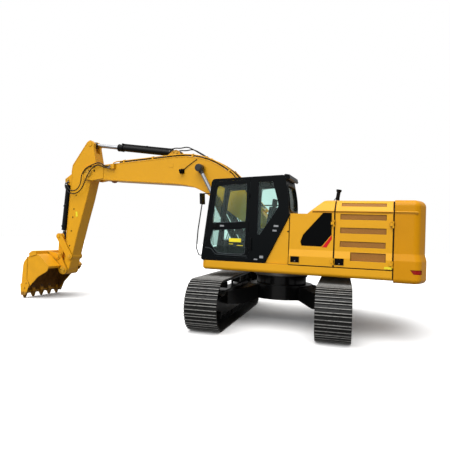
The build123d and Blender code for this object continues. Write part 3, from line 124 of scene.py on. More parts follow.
sky = bpy.data.worlds.new("sky")
bpy.context.scene.world = sky
sky.use_nodes = True
sky.node_tree.nodes.clear()
add = node_adder(sky.node_tree)
direction = add("SeparateXYZ", add("TexCoord").outputs["Generated"])
overhead = add("MapRange", direction.outputs["Z"], From_Min=0.0, From_Max=0.85, To_Min=0.22, To_Max=1.20)
# the sky is brighter ahead of the machine than behind it
ahead = add("MapRange", direction.outputs["X"], From_Min=-1.0, From_Max=1.0, To_Min=0.55, To_Max=1.40)
soft_sky = add("Background", Color=(1, 1, 1, 1),
    Strength=add("Math", overhead, ahead, operation="MULTIPLY"))
white_sky = add("Background", Color=(1, 1, 1, 1), Strength=1.0)
add("OutputWorld", Surface=add("MixShader", seen_directly(add), soft_sky, white_sky))

# name, direction of the light, strength, width in degrees
lamps = (
    ("key_lamp", (-0.02, -0.58, -1.0), 2.45, 60),
    ("fill_lamp", (-0.20, -1.0, -0.30), 0.50, 50),
)
for name, towards, strength, width in lamps:
    lamp_data = bpy.data.lights.new(name, "SUN")
    lamp_data.energy, lamp_data.angle = strength, math.radians(width)
    lamp = bpy.data.objects.new(name, lamp_data)
    lamp.rotation_euler = Vector(towards).to_track_quat("-Z", "Y").to_euler()
    bpy.context.collection.objects.link(lamp)


# ================================================================ tracks
# Two chains of rolled steel shoes with three grousers each. Black paint is left between the grousers,
# and their tips are rubbed to dull steel. Four bolts hold each shoe to its chain link.
def finish(name, colour, edge_wear_and_highlight=None, rough=0.45, metal=0.0, shine=0.5, coat=0.0, drift=0.08, patch=1.6,
        grain=0.15, grain_size=260.0, edge=0.010, wear=0.5, dust=0.0, dust_top=1.2, crease_shade=0.0):
    """Surface with drifting colour and gloss, rubbed edges that in some finishes are a painted highlight,
    fine grain, dust low down and painted shade in creases.
    """
    material, add = blank_material(name)
    place = add("TexCoord").outputs["Object"]
    cloud = add("TexNoise", place, Scale=patch, Detail=7.0, Roughness=0.62)
    shade = add("ValToRGB", cloud)
    for end, position, change in zip(shade.color_ramp.elements, (0.32, 0.68), (1 - drift, 1 + drift)):
        end.position = position
        end.color = (*[min(1.0, c * change) for c in colour], 1)
    # edge colour, wear and in some finishes a painted highlight: where the rounded normal leaves the true
    # one, broken up by a fine noise
    round_edge = add("Bevel", samples=4, Radius=edge)
    meet = add("VectorMath", round_edge, add("NewGeometry").outputs["Normal"], operation="DOT_PRODUCT")
    scuff = add("TexNoise", place, Scale=38.0, Detail=5.0, Roughness=0.7)
    on_edge = add("MapRange", meet, From_Min=0.985, From_Max=0.86)
    broken = add("MapRange", scuff, From_Min=0.48, From_Max=0.62, To_Max=wear)
    wear_and_highlight_share = add("Math", on_edge, broken, operation="MULTIPLY", use_clamp=True)
    edge_wear_and_highlight = edge_wear_and_highlight or [min(1.0, c * 1.5 + 0.02) for c in colour]
    shade = add("Mix", data_type="RGBA", Factor=wear_and_highlight_share, A=shade, B=(*edge_wear_and_highlight, 1))
    if dust:
        level = add("SeparateXYZ", place)
        low = add("MapRange", level.outputs["Z"], From_Min=dust_top, From_Max=0.0, To_Max=dust)
        dust_share = add("Math", low, cloud, operation="MULTIPLY", use_clamp=True)
        shade = add("Mix", data_type="RGBA", Factor=dust_share, A=shade, B=(0.16, 0.135, 0.10, 1))
    # painted shade: the colour darkens in creases and corners, where ambient occlusion finds little open sky
    if crease_shade:
        corner = add("AmbientOcclusion", samples=5, Distance=0.07).outputs["AO"]
        open_share = add("MapRange", corner, From_Min=0.25, From_Max=0.80, To_Min=1 - crease_shade)
        shade = add("Mix", data_type="RGBA", Factor=open_share, A=(*[c * 0.10 for c in colour], 1), B=shade)
    gloss = add("MapRange", scuff, To_Min=rough * 0.85, To_Max=min(1, rough * 1.2))
    skin = add("TexNoise", place, Scale=grain_size, Detail=2.0)
    relief = add("Bump", Strength=grain, Distance=0.0015, Height=skin, Normal=round_edge)
    body = add("BsdfPrincipled", Metallic=metal, Specular_IOR_Level=shine, Coat_Weight=coat,
        Coat_Roughness=0.12, Base_Color=shade, Roughness=gloss, Normal=relief)
    add("OutputMaterial", Surface=body)
    return material


def surface(material):
    """The main surface node of a finish."""
    return next(node for node in material.node_tree.nodes if node.bl_idname == "ShaderNodeBsdfPrincipled")


def overlay(material, share, **changes):
    """Lay another colour or gloss over a finish where a share is 1."""
    add = node_adder(material.node_tree)
    for key, value in changes.items():
        socket = surface(material).inputs[key.replace("_", " ")]
        under = socket.links[0].from_socket if socket.links else socket.default_value
        kind = "RGBA" if isinstance(value, tuple) else "FLOAT"
        over = add("Mix", data_type=kind, Factor=share, A=under, B=value)
        material.node_tree.links.new(over.outputs["Result"], socket)


def paint(material, *names):
    """Give frame nodes their finish."""
    for name in names:
        for place in nodes[name].material_slots:
            place.material = material


def settle(name, mesh, body):
    """Put a mesh into the scene; it moves with a body, if one is given."""
    thing = bpy.data.objects.new(name, mesh)
    bpy.context.collection.objects.link(thing)
    if body:
        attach(thing, body)
    return thing


def piece(name, form, material, body, smooth=None):
    """Turn a built form into a piece of the machine."""
    bmesh.ops.recalc_face_normals(form, faces=form.faces)
    mesh = bpy.data.meshes.new(name)
    form.to_mesh(mesh)
    form.free()
    mesh.materials.append(material)
    if smooth:
        mesh.shade_smooth()
        mesh.set_sharp_from_angle(angle=math.radians(smooth))
    return settle(name, mesh, body)


def ring_at(form, outline, height, place):
    """Points of an outline at a height over a plane."""
    return [form.verts.new(place @ Vector((u, v, height))) for u, v in outline]


def join_rings(form, lower, upper):
    """Band of faces between two rings of points."""
    count = len(lower)
    for k in range(count):
        form.faces.new((lower[k], upper[k], upper[(k + 1) % count], lower[(k + 1) % count]))


def prism(form, outline, low, high, place):
    """Add a straight-sided solid: an outline in a plane, between two heights over it."""
    lower, upper = ring_at(form, outline, low, place), ring_at(form, outline, high, place)
    form.faces.new(lower)
    form.faces.new(list(reversed(upper)))
    join_rings(form, lower, upper)


def facing(origin, normal, across=(1, 0, 0)):
    """Plane at a point: its third axis is the normal, its first runs roughly across."""
    third = Vector(normal).normalized()
    first = (Vector(across) - third * third.dot(Vector(across))).normalized()
    second = third.cross(first)
    return Matrix.Translation(origin) @ Matrix((first, second, third)).transposed().to_4x4()


def disc(radius, sides=16, turn=0.0):
    """Regular outline, a circle when it has many sides."""
    return [(radius * math.cos(2 * math.pi * k / sides + turn),
        radius * math.sin(2 * math.pi * k / sides + turn)) for k in range(sides)]


def hex_bolt(form, origin, normal, size):
    """Washer and hexagon head."""
    place = facing(origin, normal)
    prism(form, disc(size, 12), 0, size * 0.18, place)
    prism(form, disc(size * 0.82, 6), size * 0.17, size * 0.8, place)


track_steel = finish("track_steel", (0.005, 0.005, 0.0048), (0.08, 0.08, 0.075), rough=0.45, shine=0.3,
    drift=0.3, patch=3.0, grain=0.5, grain_size=90, edge=0.008, wear=0.6, dust=0.04, dust_top=1.1)
track_dark = finish("track_dark", (0.005, 0.005, 0.005), (0.05, 0.05, 0.05), rough=0.6, shine=0.15,
    wear=0.5)
track_gauge, track_length, track_height = 2.598, 5.03, 1.09
shoe_count, shoe_plate, grouser = 50, 0.014, 0.026
track_angle = 95.6  # the tracks under the upper structure, degrees
lie = Matrix.Rotation(math.radians(track_angle), 4, "Z")
plate_radius = track_height / 2 - grouser
straight = track_length - track_height
loop = 2 * straight + 2 * math.pi * plate_radius
pitch = loop / shoe_count

# the outer few millimetres of the grousers are rubbed bright all round the loop
add = node_adder(track_steel.node_tree)
place = add("TexCoord").outputs["Object"]
squared = add("VectorRotate", rotation_type="Z_AXIS", Vector=place, Angle=-math.radians(track_angle))
parts = add("SeparateXYZ", squared)
past_axle = add("Math", add("Math", parts.outputs["X"], operation="ABSOLUTE"), straight / 2,
    operation="SUBTRACT")
from_axle = add("CombineXYZ", X=add("Math", past_axle, 0.0, operation="MAXIMUM"),
    Y=add("Math", parts.outputs["Z"], track_height / 2, operation="SUBTRACT"))
reach = add("VectorMath", from_axle, operation="LENGTH")
tip = add("MapRange", reach, From_Min=track_height / 2 - 0.006, From_Max=track_height / 2 - 0.002)
uneven = add("MapRange", add("TexNoise", place, Scale=14.0, Detail=4.0), From_Min=0.25, From_Max=0.55,
    To_Min=0.45)
overlay(track_steel, add("Math", tip, uneven, operation="MULTIPLY", use_clamp=True),
    Base_Color=(0.30, 0.295, 0.28, 1))
paint(track_steel, "track_left", "track_right")


def on_track(distance, height):
    """Place along and above the ground on the loop of a track, and the outward direction there."""
    run = distance % (loop / 2)
    if run < straight:
        spot, out = Vector((run - straight / 2, 0, plate_radius + height)), Vector((0, 0, 1))
    else:
        turn = math.pi / 2 - (run - straight) / plate_radius
        out = Vector((math.cos(turn), 0, math.sin(turn)))
        spot = Vector((straight / 2, 0, 0)) + out * (plate_radius + height)
    if distance % loop >= loop / 2:
        spot, out = -spot, -out
    return spot + Vector((0, 0, track_height / 2)), out


for side, name in ((1, "left"), (-1, "right")):
    bolts, links = bmesh.new(), bmesh.new()
    for shoe in range(shoe_count):
        for share in (0.30, 0.67):
            spot, out = on_track((shoe + share) * pitch, 0.0)
            for across in (-0.085, 0.085):
                spot.y = side * track_gauge / 2 + across
                hex_bolt(bolts, lie @ spot, lie.to_3x3() @ out, 0.017)
        # link plates and pin ends on both sides of the chain
        spot, out = on_track((shoe + 0.5) * pitch, -shoe_plate - 0.058)
        for edge in (-1, 1):
            spot.y = side * track_gauge / 2 + edge * 0.1003
            place = facing(lie @ spot, lie.to_3x3() @ Vector((0, edge, 0)), lie.to_3x3() @ out)
            half, reach = 0.046, pitch * 0.54
            prism(links, [(-half, -reach * 0.6), (-half * 0.5, -reach), (half * 0.5, -reach),
                (half, -reach * 0.6), (half, reach * 0.6), (half * 0.5, reach), (-half * 0.5, reach),
                (-half, reach * 0.6)], 0, 0.012, place)
            prism(links, [(u, v + pitch * 0.5) for u, v in disc(0.024, 10)], 0.011, 0.022, place)
    piece("shoe_bolts_" + name, bolts, track_steel, "undercarriage")
    piece("chain_links_" + name, links, track_dark, "undercarriage")

# ================================================================ track frames, wheels and rollers
# Welded box frames in black paint. The final drives and their sprockets are at the rear of the tracks,
# the idlers at the front; covers are held by rings of bolts.
frame_black = finish("frame_black", (0.0015, 0.0015, 0.0018), (0.05, 0.05, 0.05), rough=0.32, shine=0.15,
    coat=0.35, wear=0.5, dust=0.02)
wheel_iron = finish("wheel_iron", (0.006, 0.006, 0.006), (0.10, 0.095, 0.09), rough=0.5, metal=0.2,
    shine=0.2, wear=0.5, dust=0.06)
paint(frame_black, "track_frame_left", "track_frame_right", "car_body")
paint(wheel_iron, "track_rollers", "drive_sprockets", "idlers")


def bolt_ring(form, centre, normal, ring, count, size):
    """Ring of bolts round a centre."""
    place = facing(centre, normal, (0.3, 0.9, 0.1))
    for u, v in disc(ring, count):
        hex_bolt(form, place @ Vector((u, v, 0)), normal, size)


drive_bolts = bmesh.new()
for side in (-1, 1):
    outward = lie.to_3x3() @ Vector((0, 1, 0))
    hub = lie @ Vector((-straight / 2, side * track_gauge / 2, track_height / 2))
    bolt_ring(drive_bolts, hub + outward * 0.190, outward, 0.118, 10, 0.016)
    bolt_ring(drive_bolts, hub + outward * 0.150, outward, 0.185, 16, 0.014)
    bolt_ring(drive_bolts, hub + outward * 0.040, outward, 0.270, 24, 0.015)
piece("drive_bolts", drive_bolts, wheel_iron, "undercarriage")

# ================================================================ swing bearing
# Two forged steel races, left bare. The outer one turns with the upper structure, and closely spaced bolts
# show under its rim.
bare_steel = finish("bare_steel", (0.20, 0.195, 0.19), (0.5, 0.5, 0.5), rough=0.38, metal=0.9, drift=0.15,
    patch=8.0, edge=0.003, wear=0.5)
paint(bare_steel, "slew_ring_inner", "slew_ring_outer")

ring_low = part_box("slew_ring_outer")[0]
race_bolts = bmesh.new()
bolt_ring(race_bolts, Vector((0, 0, ring_low.z)), (0, 0, -1), 0.650, 42, 0.012)
piece("race_bolts", race_bolts, bare_steel, "upper")

# ================================================================ centre frame and decks
# Welded steel plate under the machinery in black, and a yellow deck box on each side with a rolled lower
# edge. The decks are bolted to the frame from below.
black_paint = finish("black_paint", (0.0015, 0.0015, 0.0018), (0.04, 0.04, 0.04), rough=0.34, shine=0.14,
    wear=0.3, grain=0.12, grain_size=160)
yellow_paint = finish("yellow_paint", (0.740, 0.355, 0.0085), (0.80, 0.46, 0.06), rough=0.36, shine=0.22,
    coat=0.05, drift=0.035, patch=1.1, grain=0.10, grain_size=150, edge=0.006, wear=0.22, dust=0.05,
    dust_top=1.5, crease_shade=0.8)
paint(black_paint, "revolving_frame")
paint(yellow_paint, "left_deck", "right_deck")

deck_bolts = bmesh.new()
for side in (-1, 1):
    for x in (-2.2, -1.5, -0.8, 0.0, 0.8, 1.3):
        hex_bolt(deck_bolts, (x, side * 0.62, 1.240), (0, 0, -1), 0.016)
piece("deck_bolts", deck_bolts, black_paint, "upper")

# ================================================================ engine housing
# Folded sheet steel in gloss yellow. Under the edge of the shoulder runs a brown strip of painted shade with
# a yellow lip over it. The hood hangs on knuckle hinges, and black strips of painted shade fill the seams
# round the doors.
paint(yellow_paint, "engine_housing", "engine_hood", "fender_panel")
# brown of painted shade under the shoulder's edge
shoulder_shade_brown = finish("shoulder_shade_brown", (0.44, 0.185, 0.006), rough=0.5, shine=0.2, wear=0.1)
side_face, door_face = 1.455, 1.490  # outer Y of the housing, and of the doors low down
shoulder_low = 2.605  # Z under the edge of the shoulder
hair = 0.0003  # what lies on a face stands off it by this


def rectangle(low_u, high_u, low_v, high_v):
    """Outline with four corners."""
    return list(zip((low_u, high_u, high_u, low_u), (low_v, low_v, high_v, high_v)))


def along_x(form, profile, rear, front):
    """Add a bar along X with a profile in Y and Z."""
    prism(form, profile, rear, front, Matrix(((0, 0, 1, 0), (1, 0, 0, 0), (0, 1, 0, 0), (0, 0, 0, 1))))


# rear X, front X, body
shoulder_runs = (("rear", -2.546, -1.430, "service_door_rear_left"), ("tail", -3.000, -2.578, "upper"),
    ("front", -1.392, -0.950, "service_door_front_left"))
# each run has a brown strip of painted shade under the shoulder's edge, and a yellow lip over it
for name, rear, front, body in shoulder_runs:
    shade_strip, lip = bmesh.new(), bmesh.new()
    along_x(shade_strip, rectangle(side_face + hair, side_face + 0.0012, shoulder_low - 0.040,
        shoulder_low - 0.004), rear, front)
    along_x(lip, [(side_face + hair, shoulder_low - 0.004), (side_face + 0.011, shoulder_low - 0.006),
        (side_face + 0.014, shoulder_low), (side_face + 0.009, shoulder_low + 0.010),
        (side_face + hair, shoulder_low + 0.014)], rear, front)
    piece("shoulder_shade_strip_" + name, shade_strip, shoulder_shade_brown, body)
    piece("shoulder_lip_" + name, lip, yellow_paint, body)

# black strips of painted shade in the seams: round a door they follow the housing's section from the deck to
# the crown
door_y, side_y = door_face + hair, side_face + hair
door_seam = [(door_y, 1.447), (door_y, 1.640), (side_y, 1.780), (side_y, shoulder_low), (1.2705, 2.8253)]
fender_seam = [(side_y, 1.447), (side_y, 2.455)]
# black that paints the shade in the gaps between the panels
seam_shade_black = finish("seam_shade_black", (0.0015, 0.0012, 0.001), rough=0.6, shine=0.1, wear=0.0)
gap_shade_strips = bmesh.new()
for rear, front, run in ((-2.5705, -2.5480, door_seam), (-1.4215, -1.3985, door_seam),
        (-0.4705, -0.4580, fender_seam)):
    for (y_low, z_low), (y_high, z_high) in zip(run, run[1:]):
        along_x(gap_shade_strips, [(y_low - 0.004, z_low), (y_low + 0.0008, z_low), (y_high + 0.0008, z_high),
            (y_high - 0.004, z_high)], rear, front)
along_x(gap_shade_strips, rectangle(1.484, 1.4908, 1.4370, 1.4540), -2.570, -0.475)
along_x(gap_shade_strips, rectangle(1.484, 1.4908, 1.2750, 1.4470), -2.5705, -2.5480)
piece("gap_shade_strips", gap_shade_strips, seam_shade_black, "upper")

# four black bars and six bolts on the hood, and the plug in the fender panel
hood_top = 2.860
hood_trim = bmesh.new()
for y in (-0.45, 0.45):
    for x in (-2.2, -1.8):
        place = Matrix.Translation((x, y, hood_top + hair))
        prism(hood_trim, rectangle(-0.13, 0.13, -0.012, 0.012), 0, 0.006, place)
for y in (-0.8, 0.8):
    for x in (-2.35, -1.9, -1.42):
        hex_bolt(hood_trim, (x, y, hood_top + hair), (0, 0, 1), 0.013)
piece("hood_trim", hood_trim, black_paint, "engine_hood")
fender_plug = bmesh.new()
prism(fender_plug, disc(0.016, 16), 0, 0.004, facing((-0.44, side_face + 0.0002, 2.15), (0, 1, 0)))
piece("fender_plug", fender_plug, black_paint, "upper")


# ================================================================ service doors
# Pressed steel doors on vertical hinges. The front left one has a window of black mesh with a red stripe
# beside it, the rear left one has mesh in four openings and on the shoulder, its yellow painted as a shaded
# brown. Paddle latches sit in pockets.
def mesh_finish(name, colour, hole_shade, pitch, shine=0.2):
    """Punched sheet: round holes in staggered rows, painted darker than the sheet round them as the shade
    seen through them.
    """
    material = finish(name, colour, rough=0.5, shine=shine, drift=0.12, grain=0.05, wear=0.1)
    add = node_adder(material.node_tree)
    parts = add("SeparateXYZ", add("TexCoord").outputs["Object"])
    rows = [add("Math", add("Math", parts.outputs[axis], 2 * math.pi / pitch, operation="MULTIPLY"),
        operation="COSINE") for axis in ("X", "Z")]
    open_share = add("MapRange", add("Math", *rows, operation="MULTIPLY"), From_Min=0.05, From_Max=0.25)
    # painted shade: the holes are darker, as the shade seen through them
    overlay(material, open_share, Base_Color=(*hole_shade, 1))
    return material


paint(yellow_paint, "service_door_front_left", "service_door_rear_left", "service_door_right")
# the yellow mesh is painted a shaded brown: painted shade of the recessed grilles
shaded_brown_mesh = mesh_finish("shaded_brown_mesh", (0.37, 0.160, 0.030), (0.25, 0.105, 0.016), 0.012)
black_mesh = mesh_finish("black_mesh", (0.0012, 0.0018, 0.0022), (0.0005, 0.0005, 0.0005), 0.014, 0.05)
latch_black = finish("latch_black", (0.001, 0.001, 0.0012), (0.04, 0.04, 0.04), rough=0.35, shine=0.08,
    wear=0.2)
paint(shaded_brown_mesh, "rear_door_grilles")
paint(black_mesh, "front_door_mesh")
paint(latch_black, "front_door_latch", "rear_door_latch")


along_y = Matrix(((1, 0, 0, 0), (0, 0, 1, 0), (0, 1, 0, 0), (0, 0, 0, 1)))


def flat_plate(form, outline, y, thick):
    """Add a thin plate that faces +Y, from an outline in X and Z."""
    prism(form, outline, y, y + thick, along_y)


def plate_piece(name, outline, y, thick, material, body):
    """Thin plate that faces +Y, a piece of its own."""
    form = bmesh.new()
    flat_plate(form, outline, y, thick)
    piece(name, form, material, body)


red_gloss = finish("red_gloss", (0.62, 0.006, 0.012), rough=0.35, shine=0.2, drift=0.05, wear=0.0)
plate_piece("red_stripe", [(-1.361, 2.110), (-1.363, 2.022), (-1.262, 1.845), (-1.166, 1.845)],
    side_face + 0.0002, 0.0015, red_gloss, "service_door_front_left")
sign_yellow = finish("sign_yellow", (0.86, 0.72, 0.030), rough=0.35, shine=0.2, drift=0.03, wear=0.05)
plate_piece("door_sign", rectangle(-2.546, -2.396, 1.467, 1.513), door_face + 0.0002, 0.001, sign_yellow,
    "service_door_rear_left")


def frame_bars(form, rear, front, low, high, y, width, thick):
    """Four flat bars round a rectangle in X and Z."""
    for bar in ((rear, front, high - width, high), (rear, front, low, low + width),
            (rear, rear + width, low + width, high - width),
            (front - width, front, low + width, high - width)):
        flat_plate(form, rectangle(*bar), y, thick)


# mesh sheets with a folded rim in the door's four openings: rear X, front X, low Z, high Z
recess = 1.4433  # Y of the sheets, behind the door's face
grille_mesh = bmesh.new()
for rear, front, low, high in ((-2.421, -1.524, 2.432, 2.544), (-2.424, -1.527, 2.151, 2.268),
        (-2.413, -1.526, 1.871, 1.988), (-2.421, -1.741, 1.596, 1.768)):
    frame_bars(grille_mesh, rear + 0.001, front - 0.001, low + 0.001, high - 0.001, recess, 0.007, 0.004)
    flat_plate(grille_mesh, rectangle(rear + 0.008, front - 0.008, low + 0.008, high - 0.008), recess,
        0.0012)
# and one more sheet on the slope of the shoulder
slope = Vector((0, -0.185, 0.220)).normalized()
shoulder_out = Vector((0, 0.220, 0.185)).normalized()
place = Matrix((Vector((1, 0, 0)), slope, -shoulder_out)).transposed().to_4x4()
place.translation = Vector((0, side_face, shoulder_low)) - shoulder_out * 0.0057
prism(grille_mesh, rectangle(-2.405, -1.545, 0.146, 0.222), 0, 0.0012, place)
piece("grille_mesh", grille_mesh, shaded_brown_mesh, "service_door_rear_left")
# raised rim of each latch pocket, and its key lock with a slot: name, rear X, front X, low Z, high Z
for name, rear, front, low, high in (("front", -0.705, -0.513, 1.501, 1.632),
        ("rear", -1.618, -1.431, 1.489, 1.632)):
    body = "service_door_" + name + "_left"
    rim = bmesh.new()
    frame_bars(rim, rear - 0.008, front + 0.008, low - 0.008, high + 0.008, door_face + hair, 0.009, 0.003)
    piece("latch_rim_" + name, rim, yellow_paint, body)
    lock = bmesh.new()
    place = facing(((rear + front) / 2, door_face - 0.0038, low + 0.034), (0, 1, 0))
    prism(lock, disc(0.013, 20), 0, 0.005, place)
    prism(lock, rectangle(-0.009, 0.009, -0.0015, 0.0015), 0.0045, 0.006, place)
    piece("latch_key_" + name, lock, bare_steel, body)

# ================================================================ counterweight
# Cast iron under thick yellow paint, so its skin is a little uneven. Its yellow is mixed darker than the
# housing's, as painted shade. Two red lamps sit in pockets at its rear corners.
# darker yellow than the housing's: painted shade
shaded_cast_yellow = finish("shaded_cast_yellow", (0.600, 0.255, 0.0020), (0.74, 0.38, 0.04), rough=0.30, shine=0.14,
    coat=0.05, drift=0.05, patch=0.9, grain=0.35, grain_size=26, edge=0.012, wear=0.15, crease_shade=0.6)
paint(shaded_cast_yellow, "counterweight")
lamp_red = finish("lamp_red", (0.30, 0.006, 0.003), rough=0.25, shine=0.3, drift=0.20, patch=30.0, wear=0.0)
paint(lamp_red, "tail_lamps")

# ================================================================ tanks, tool box and engine
# Bolted steel tanks on the right deck, and a tool box in front, with studs to step on. The engine is cast
# iron, its cooler alloy, and the exhaust is a black tube with a flared lip and a stay.
paint(yellow_paint, "hydraulic_tank", "fuel_tank", "tool_box")
paint(black_paint, "tool_box_lid")
cast_iron = finish("cast_iron", (0.05, 0.05, 0.052), rough=0.65, metal=0.3, drift=0.25, grain=0.5,
    grain_size=60)
alloy = finish("alloy", (0.30, 0.30, 0.30), rough=0.45, metal=0.8, drift=0.2, grain=0.3)
paint(cast_iron, "engine_block", "main_pump")
paint(alloy, "cooling_pack")
paint(black_paint, "exhaust_stack")


def collar(form, place, outer, inner, low, high, sides):
    """Add a hollow ring between two heights over a plane."""
    rings = [ring_at(form, disc(radius, sides), height, place)
        for height in (low, high) for radius in (outer, inner)]
    for a, b in ((0, 2), (1, 3), (0, 1), (2, 3)):
        join_rings(form, rings[a], rings[b])


lip = bmesh.new()
stay_foot, stay_head = Vector((-0.990, -0.900, 2.864)), Vector((-1.156, -0.900, 3.070))
prism(lip, disc(0.010, 10), 0, (stay_head - stay_foot).length,
    facing(stay_foot, stay_head - stay_foot, (0, 1, 0)))
place = facing((-1.2215, -0.900, 3.2300), (-0.1414, 0, 0.9899), (1, 0, 0))
tube_radius = 0.0485
for radius, low, high in ((0.062, 0.0, 0.016), (0.068, 0.014, 0.058)):
    collar(lip, place, radius, tube_radius, low, high, 28)
piece("exhaust_lip", lip, black_paint, "upper")


def studs(name, x_first, x_count, y_count, top, height, body):
    """Rows of round studs to step on, over the right deck."""
    form = bmesh.new()
    for x in [x_first + 0.075 * k for k in range(x_count)]:
        for y in [-1.40 + 0.08 * k for k in range(y_count)]:
            prism(form, disc(0.014, 8), 0, height, Matrix.Translation((x, y, top + hair)))
    piece(name, form, black_paint, body)


studs("tank_treads", -0.36, 16, 4, 2.480, 0.005, "upper")
studs("lid_studs", 0.99, 5, 10, 1.930, 0.004, "tool_box_lid")

# ================================================================ cab
# Pressed steel frame in gloss black, with a painted highlight along its edges, bonded glass, two consoles
# and a ribbed floor mat. Rubber seals, painted grey as a highlight, lie round the panes, the rear window has
# a thick moulded surround, and small blank labels are stuck on, with a light grey plate by the door handle
# as a painted glint.
# its edges turn grey-blue: a painted highlight along them
cab_black = finish("cab_black", (0.0010, 0.0020, 0.0026), (0.10, 0.12, 0.13), rough=0.28, shine=0.09,
    drift=0.1, wear=0.8, edge=0.007, grain=0.06)
rubber = finish("rubber", (0.012, 0.012, 0.012), rough=0.75, shine=0.2, drift=0.15, wear=0.0, grain=0.25)
plastic = finish("cab_plastic", (0.012, 0.014, 0.016), rough=0.55, shine=0.3, drift=0.08, grain=0.4,
    grain_size=420)


def glass(name, colour, veil):
    """Flat tinted pane: see-through with a clean reflection and a little pale bloom."""
    material, add = blank_material(name)
    film = add("TexNoise", add("TexCoord").outputs["Object"], Scale=2.2, Detail=4.0)
    haze = add("MapRange", film, To_Min=veil * 0.5, To_Max=veil * 1.5)
    tinted = add("MixShader", haze, add("BsdfTransparent", Color=(*colour, 1)),
        add("BsdfDiffuse", Color=(0.55, 0.72, 0.68, 1)))
    mirrored = add("Math", add("Fresnel", IOR=1.45), 0.35, operation="MULTIPLY")
    shine = add("BsdfGlossy", Color=(1, 1, 1, 1), Roughness=0.02)
    add("OutputMaterial", Surface=add("MixShader", mirrored, tinted, shine))
    return material


def eased(points, reach, closed=True):
    """Control points in pairs near the corners, so that a line rounds them and runs straight between."""
    result, count = [], len(points)
    for k, corner in enumerate(points):
        if not closed and k in (0, count - 1):
            result.append(Vector(corner))
            continue
        for other in (points[k - 1], points[(k + 1) % count]):
            step = Vector(other) - Vector(corner)
            result.append(Vector(corner) + step.normalized() * min(reach, step.length * 0.45))
    return result


def evaluated(thing):
    """Mesh of an object with its curve swept or its modifiers applied."""
    return bpy.data.meshes.new_from_object(thing.evaluated_get(bpy.context.evaluated_depsgraph_get()))


def bent_lines(name, lines, radius, material, body, closed=False, order=3, ease=0.0):
    """Round bars or hoses along smooth lines, each given by its control points or by corners to ease."""
    if ease:
        lines = [eased(line, ease, closed) for line in lines]
    curve = bpy.data.curves.new(name, "CURVE")
    curve.dimensions = "3D"
    curve.bevel_depth, curve.bevel_resolution, curve.resolution_u = radius, 3, 8
    curve.use_fill_caps = True
    for points in lines:
        spline = curve.splines.new("NURBS")
        spline.points.add(len(points) - 1)
        for knot, point in zip(spline.points, points):
            knot.co = (*point, 1)
        spline.use_cyclic_u = closed
        spline.order_u = order
        spline.use_endpoint_u = not closed
    holder = bpy.data.objects.new(name + "_line", curve)
    bpy.context.collection.objects.link(holder)
    mesh = evaluated(holder)
    bpy.data.objects.remove(holder)
    mesh.materials.clear()
    mesh.materials.append(material)
    mesh.shade_smooth()
    mesh.set_sharp_from_angle(angle=math.radians(50))
    return settle(name, mesh, body)


paint(cab_black, "cab_shell", "cab_door")
pane_tint = glass("pane_tint", (0.86, 0.965, 0.94), 0.015)
paint(pane_tint, "cab_glazing", "cab_door_glazing")
paint(plastic, "seat_base", "control_consoles")
paint(black_paint, "handrails", "cab_mirror")

# outlines of the windows in X and Z, front to rear
door_window_high = [(1.315, 2.290), (1.215, 3.095), (1.170, 3.148), (0.500, 3.190), (0.500, 2.335)]
door_window_low = [(1.300, 2.135), (1.352, 1.850), (1.160, 1.612), (0.500, 1.608), (0.500, 2.185)]
rear_side_window = [(0.240, 3.225), (-0.085, 3.225), (-0.240, 2.690), (0.240, 1.965)]
right_windows = ([(1.385, 1.900), (1.250, 3.120), (0.520, 3.160), (0.520, 1.900)],
    [(0.440, 3.160), (-0.120, 3.190), (-0.260, 2.720), (0.130, 2.090), (0.440, 1.950)])
cab_outer = 1.490  # outer Y of the cab


def slant(height, low, high):
    """X of a leaning edge at a height, between two points given in X and Z."""
    return low[0] + (height - low[1]) * (high[0] - low[0]) / (high[1] - low[1])


def cab_front_x(height):
    """Front face of the cab at a height."""
    return slant(height, (1.550, 1.4453), (1.335, 3.285))


def cab_rear_x(height):
    """Rear face of the cab at a height: it leans more over its bend."""
    if height < 2.852:
        return slant(height, (-0.462, 2.500), (-0.442, 2.852))
    return slant(height, (-0.442, 2.852), (-0.345, 3.368))


# black rubber painted grey: a painted highlight along the seals round the panes and the door's edge
seal_highlight_grey = finish("seal_highlight_grey", (0.040, 0.050, 0.055), rough=0.5, shine=0.3, drift=0.25, wear=0.0,
    grain=0.2)
seal_y, right_seal_y, seal_radius = 1.4605, 0.5295, 0.008
door_seals = [[(x, seal_y, z) for x, z in window] for window in (door_window_high, door_window_low)]
bent_lines("door_seals", door_seals, seal_radius, seal_highlight_grey, "cab_door", closed=True,
    ease=0.05)
seals = [eased([(x, seal_y, z) for x, z in rear_side_window], 0.05)]
seals += [eased([(x, right_seal_y, z) for x, z in window], 0.06) for window in right_windows]
windscreen = [(cab_front_x(z) - 0.028, y, z) for y, z in rectangle(0.594, 1.396, 1.724, 3.186)]
seals.append(eased(windscreen, 0.05))
bent_lines("cab_seals", seals, seal_radius, seal_highlight_grey, "upper", closed=True)
rear_window = [(0.575, 2.585), (1.415, 2.585), (1.412, 2.86), (1.408, 3.175), (0.582, 3.175), (0.578, 2.86)]
surround = [(cab_rear_x(z) + 0.012, y, z) for y, z in rear_window]
bent_lines("rear_window_surround", [surround], 0.030, cab_black, "upper", closed=True,
    ease=0.07)

